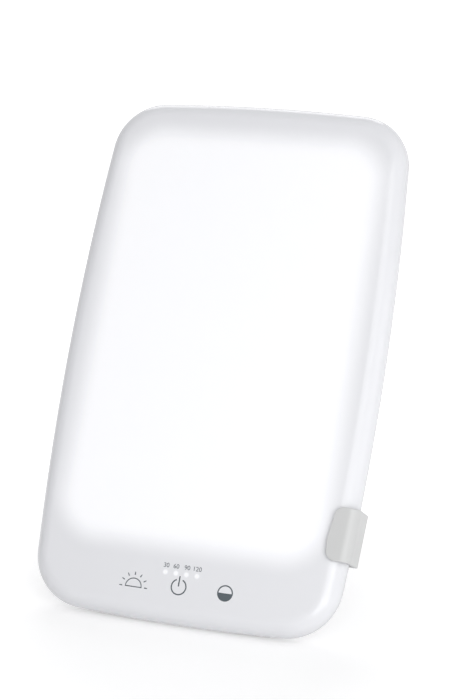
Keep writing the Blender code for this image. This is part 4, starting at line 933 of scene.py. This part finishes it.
marks = {
    "face": -0.01176, "ink": 0.00003,
    "powerAt": (0.0002, -0.1496), "powerRing": 0.0048, "powerGap": radians(24), "powerSteps": 60,
    "powerBar": ((0, -0.1493), (0, -0.1428)), "stroke": 0.0008,
    "levelAt": (0.0308, -0.1494), "levelRing": 0.0047, "levelSteps": 64, "levelHalfSteps": 32,
    "sunAt": (-0.02955, -0.1534), "sunRing": 0.0053, "sunStroke": 0.0006, "sunSteps": 32,
    "rays": 7, "rayFrom": 0.0074, "rayTo": 0.0094, "rayWide": 0.0008, "rayTip": 0.55,
    "digits": (("30", -0.0101), ("60", -0.0035), ("90", 0.0038), ("120", 0.0104)),
    "digitLine": -0.1372, "digitSize": 0.004,
}


def inkArc(bm, centre, radius, stroke, start, sweep, steps):
    # a line across the stroke, swept round the ring's centre
    x, z = centre
    ends = [bm.verts.new((x + reach * cos(start), marks["face"], z + reach * sin(start)))
            for reach in (radius - stroke / 2, radius + stroke / 2)]
    edge = bm.edges.new(ends)
    bmesh.ops.spin(bm, geom=ends + [edge], cent=(x, marks["face"], z), axis=(0, -1, 0), dvec=(0, 0, 0),
                   angle=sweep, steps=steps, use_merge=sweep == 2 * pi)


def inkBar(bm, start, end, wide, tip=1.0):
    start, end = Vector((start[0], marks["face"], start[1])), Vector((end[0], marks["face"], end[1]))
    across = (end - start).cross(Vector((0, 1, 0))).normalized() * wide / 2
    corners = [start - across, start + across, end + across * tip, end - across * tip]
    bmesh.ops.contextual_create(bm, geom=[bm.verts.new(corner) for corner in corners])


def powerMark(bm):
    gap = marks["powerGap"]
    inkArc(bm, marks["powerAt"], marks["powerRing"], marks["stroke"], pi / 2 + gap, 2 * (pi - gap),
           marks["powerSteps"])
    inkBar(bm, *marks["powerBar"], marks["stroke"])


def levelMark(bm):
    # a ring whose lower half is filled
    x, z = marks["levelAt"]
    inkArc(bm, (x, z), marks["levelRing"], marks["stroke"], 0.0, 2 * pi, marks["levelSteps"])
    inner = marks["levelRing"] - marks["stroke"] / 2
    first = bm.verts.new((x - inner, marks["face"], z))
    spunArc(bm, first, (x, marks["face"], z), pi, marks["levelHalfSteps"])
    near = touching["outline"]
    half = [vert for vert in bm.verts if abs(hypot(vert.co.x - x, vert.co.z - z) - inner) < near
            and vert.co.z < z + near and not vert.link_faces]
    bmesh.ops.contextual_create(bm, geom=half)


def sunMark(bm):
    x, z = marks["sunAt"]
    stroke = marks["sunStroke"]
    inkArc(bm, (x, z), marks["sunRing"], stroke, 0.0, pi, marks["sunSteps"])
    reach = marks["sunRing"] + stroke / 2
    inkBar(bm, (x - reach, z), (x + reach, z), stroke)
    for ray in range(marks["rays"]):
        turn = pi * ray / (marks["rays"] - 1)
        ends = [(x + far * cos(turn), z + far * sin(turn)) for far in (marks["rayFrom"], marks["rayTo"])]
        inkBar(bm, *ends, marks["rayWide"], marks["rayTip"])


def printedMarks():
    bm = bmesh.new()
    powerMark(bm)
    levelMark(bm)
    sunMark(bm)
    bmesh.ops.remove_doubles(bm, verts=bm.verts, dist=touching["print"])
    for face in bm.faces:
        face.normal_update()
    bmesh.ops.reverse_faces(bm, faces=[face for face in bm.faces if face.normal.y > 0])
    piece = finishPiece(bm, "touchMarks", "housing", "ink", casePlace)
    addWall(piece, marks["ink"], 1)


def printedDigits():
    for word, across in marks["digits"]:
        curve = bpy.data.curves.new("digits" + word, "FONT")
        curve.body = word
        curve.size = marks["digitSize"]
        curve.align_x = "CENTER"
        curve.align_y = "CENTER"
        drawn = bpy.data.objects.new("digits" + word, curve)
        bpy.context.scene.collection.objects.link(drawn)
        graph = bpy.context.evaluated_depsgraph_get()
        shape = bpy.data.meshes.new_from_object(drawn.evaluated_get(graph))
        bm = bmesh.new()
        bm.from_mesh(shape)
        bpy.data.objects.remove(drawn)
        bpy.data.curves.remove(curve)
        bpy.data.meshes.remove(shape)
        bmesh.ops.remove_doubles(bm, verts=bm.verts, dist=touching["print"])
        at = Matrix.Translation((across, marks["face"], marks["digitLine"]))
        bmesh.ops.transform(bm, matrix=at @ Matrix.Rotation(pi / 2, 4, "X"), verts=bm.verts)
        piece = finishPiece(bm, "minutes" + word, "housing", "ink", casePlace)
        addWall(piece, marks["ink"], 1)


printedMarks()
printedDigits()
print("marks printed")


def numbered(word, count):
    return [f"{word}_{number}" for number in range(1, count + 1)]


# the CAD's own solids that show as they are
nodeLooks = {
    "rubber": ["left_foot", "right_foot", "stand_pad"],
    "film": ["diffuser_sheet", "reflector_sheet", "lead_plug_left", "lead_plug_right"],
    "acrylic": ["light_guide"],
    "shell": ["light_frame"],
    "aluminium": ["heat_spreader"],
    "board": ["control_board", "led_strip_left", "led_strip_right"],
    "led": numbered("timer_led", 4),
    "black": ["timer_light_mask", "control_chip"] + numbered("capacitor", 2),
    "copper": numbered("touch_spring", 3) + ["inductor"],
    "steel": numbered("board_screw", 4),
    "lead": ["led_lead_left", "led_lead_right"],
}
for lookName, names in nodeLooks.items():
    for name in names:
        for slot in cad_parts[name].material_slots:
            slot.material = looks[lookName]
print("inner parts finished")
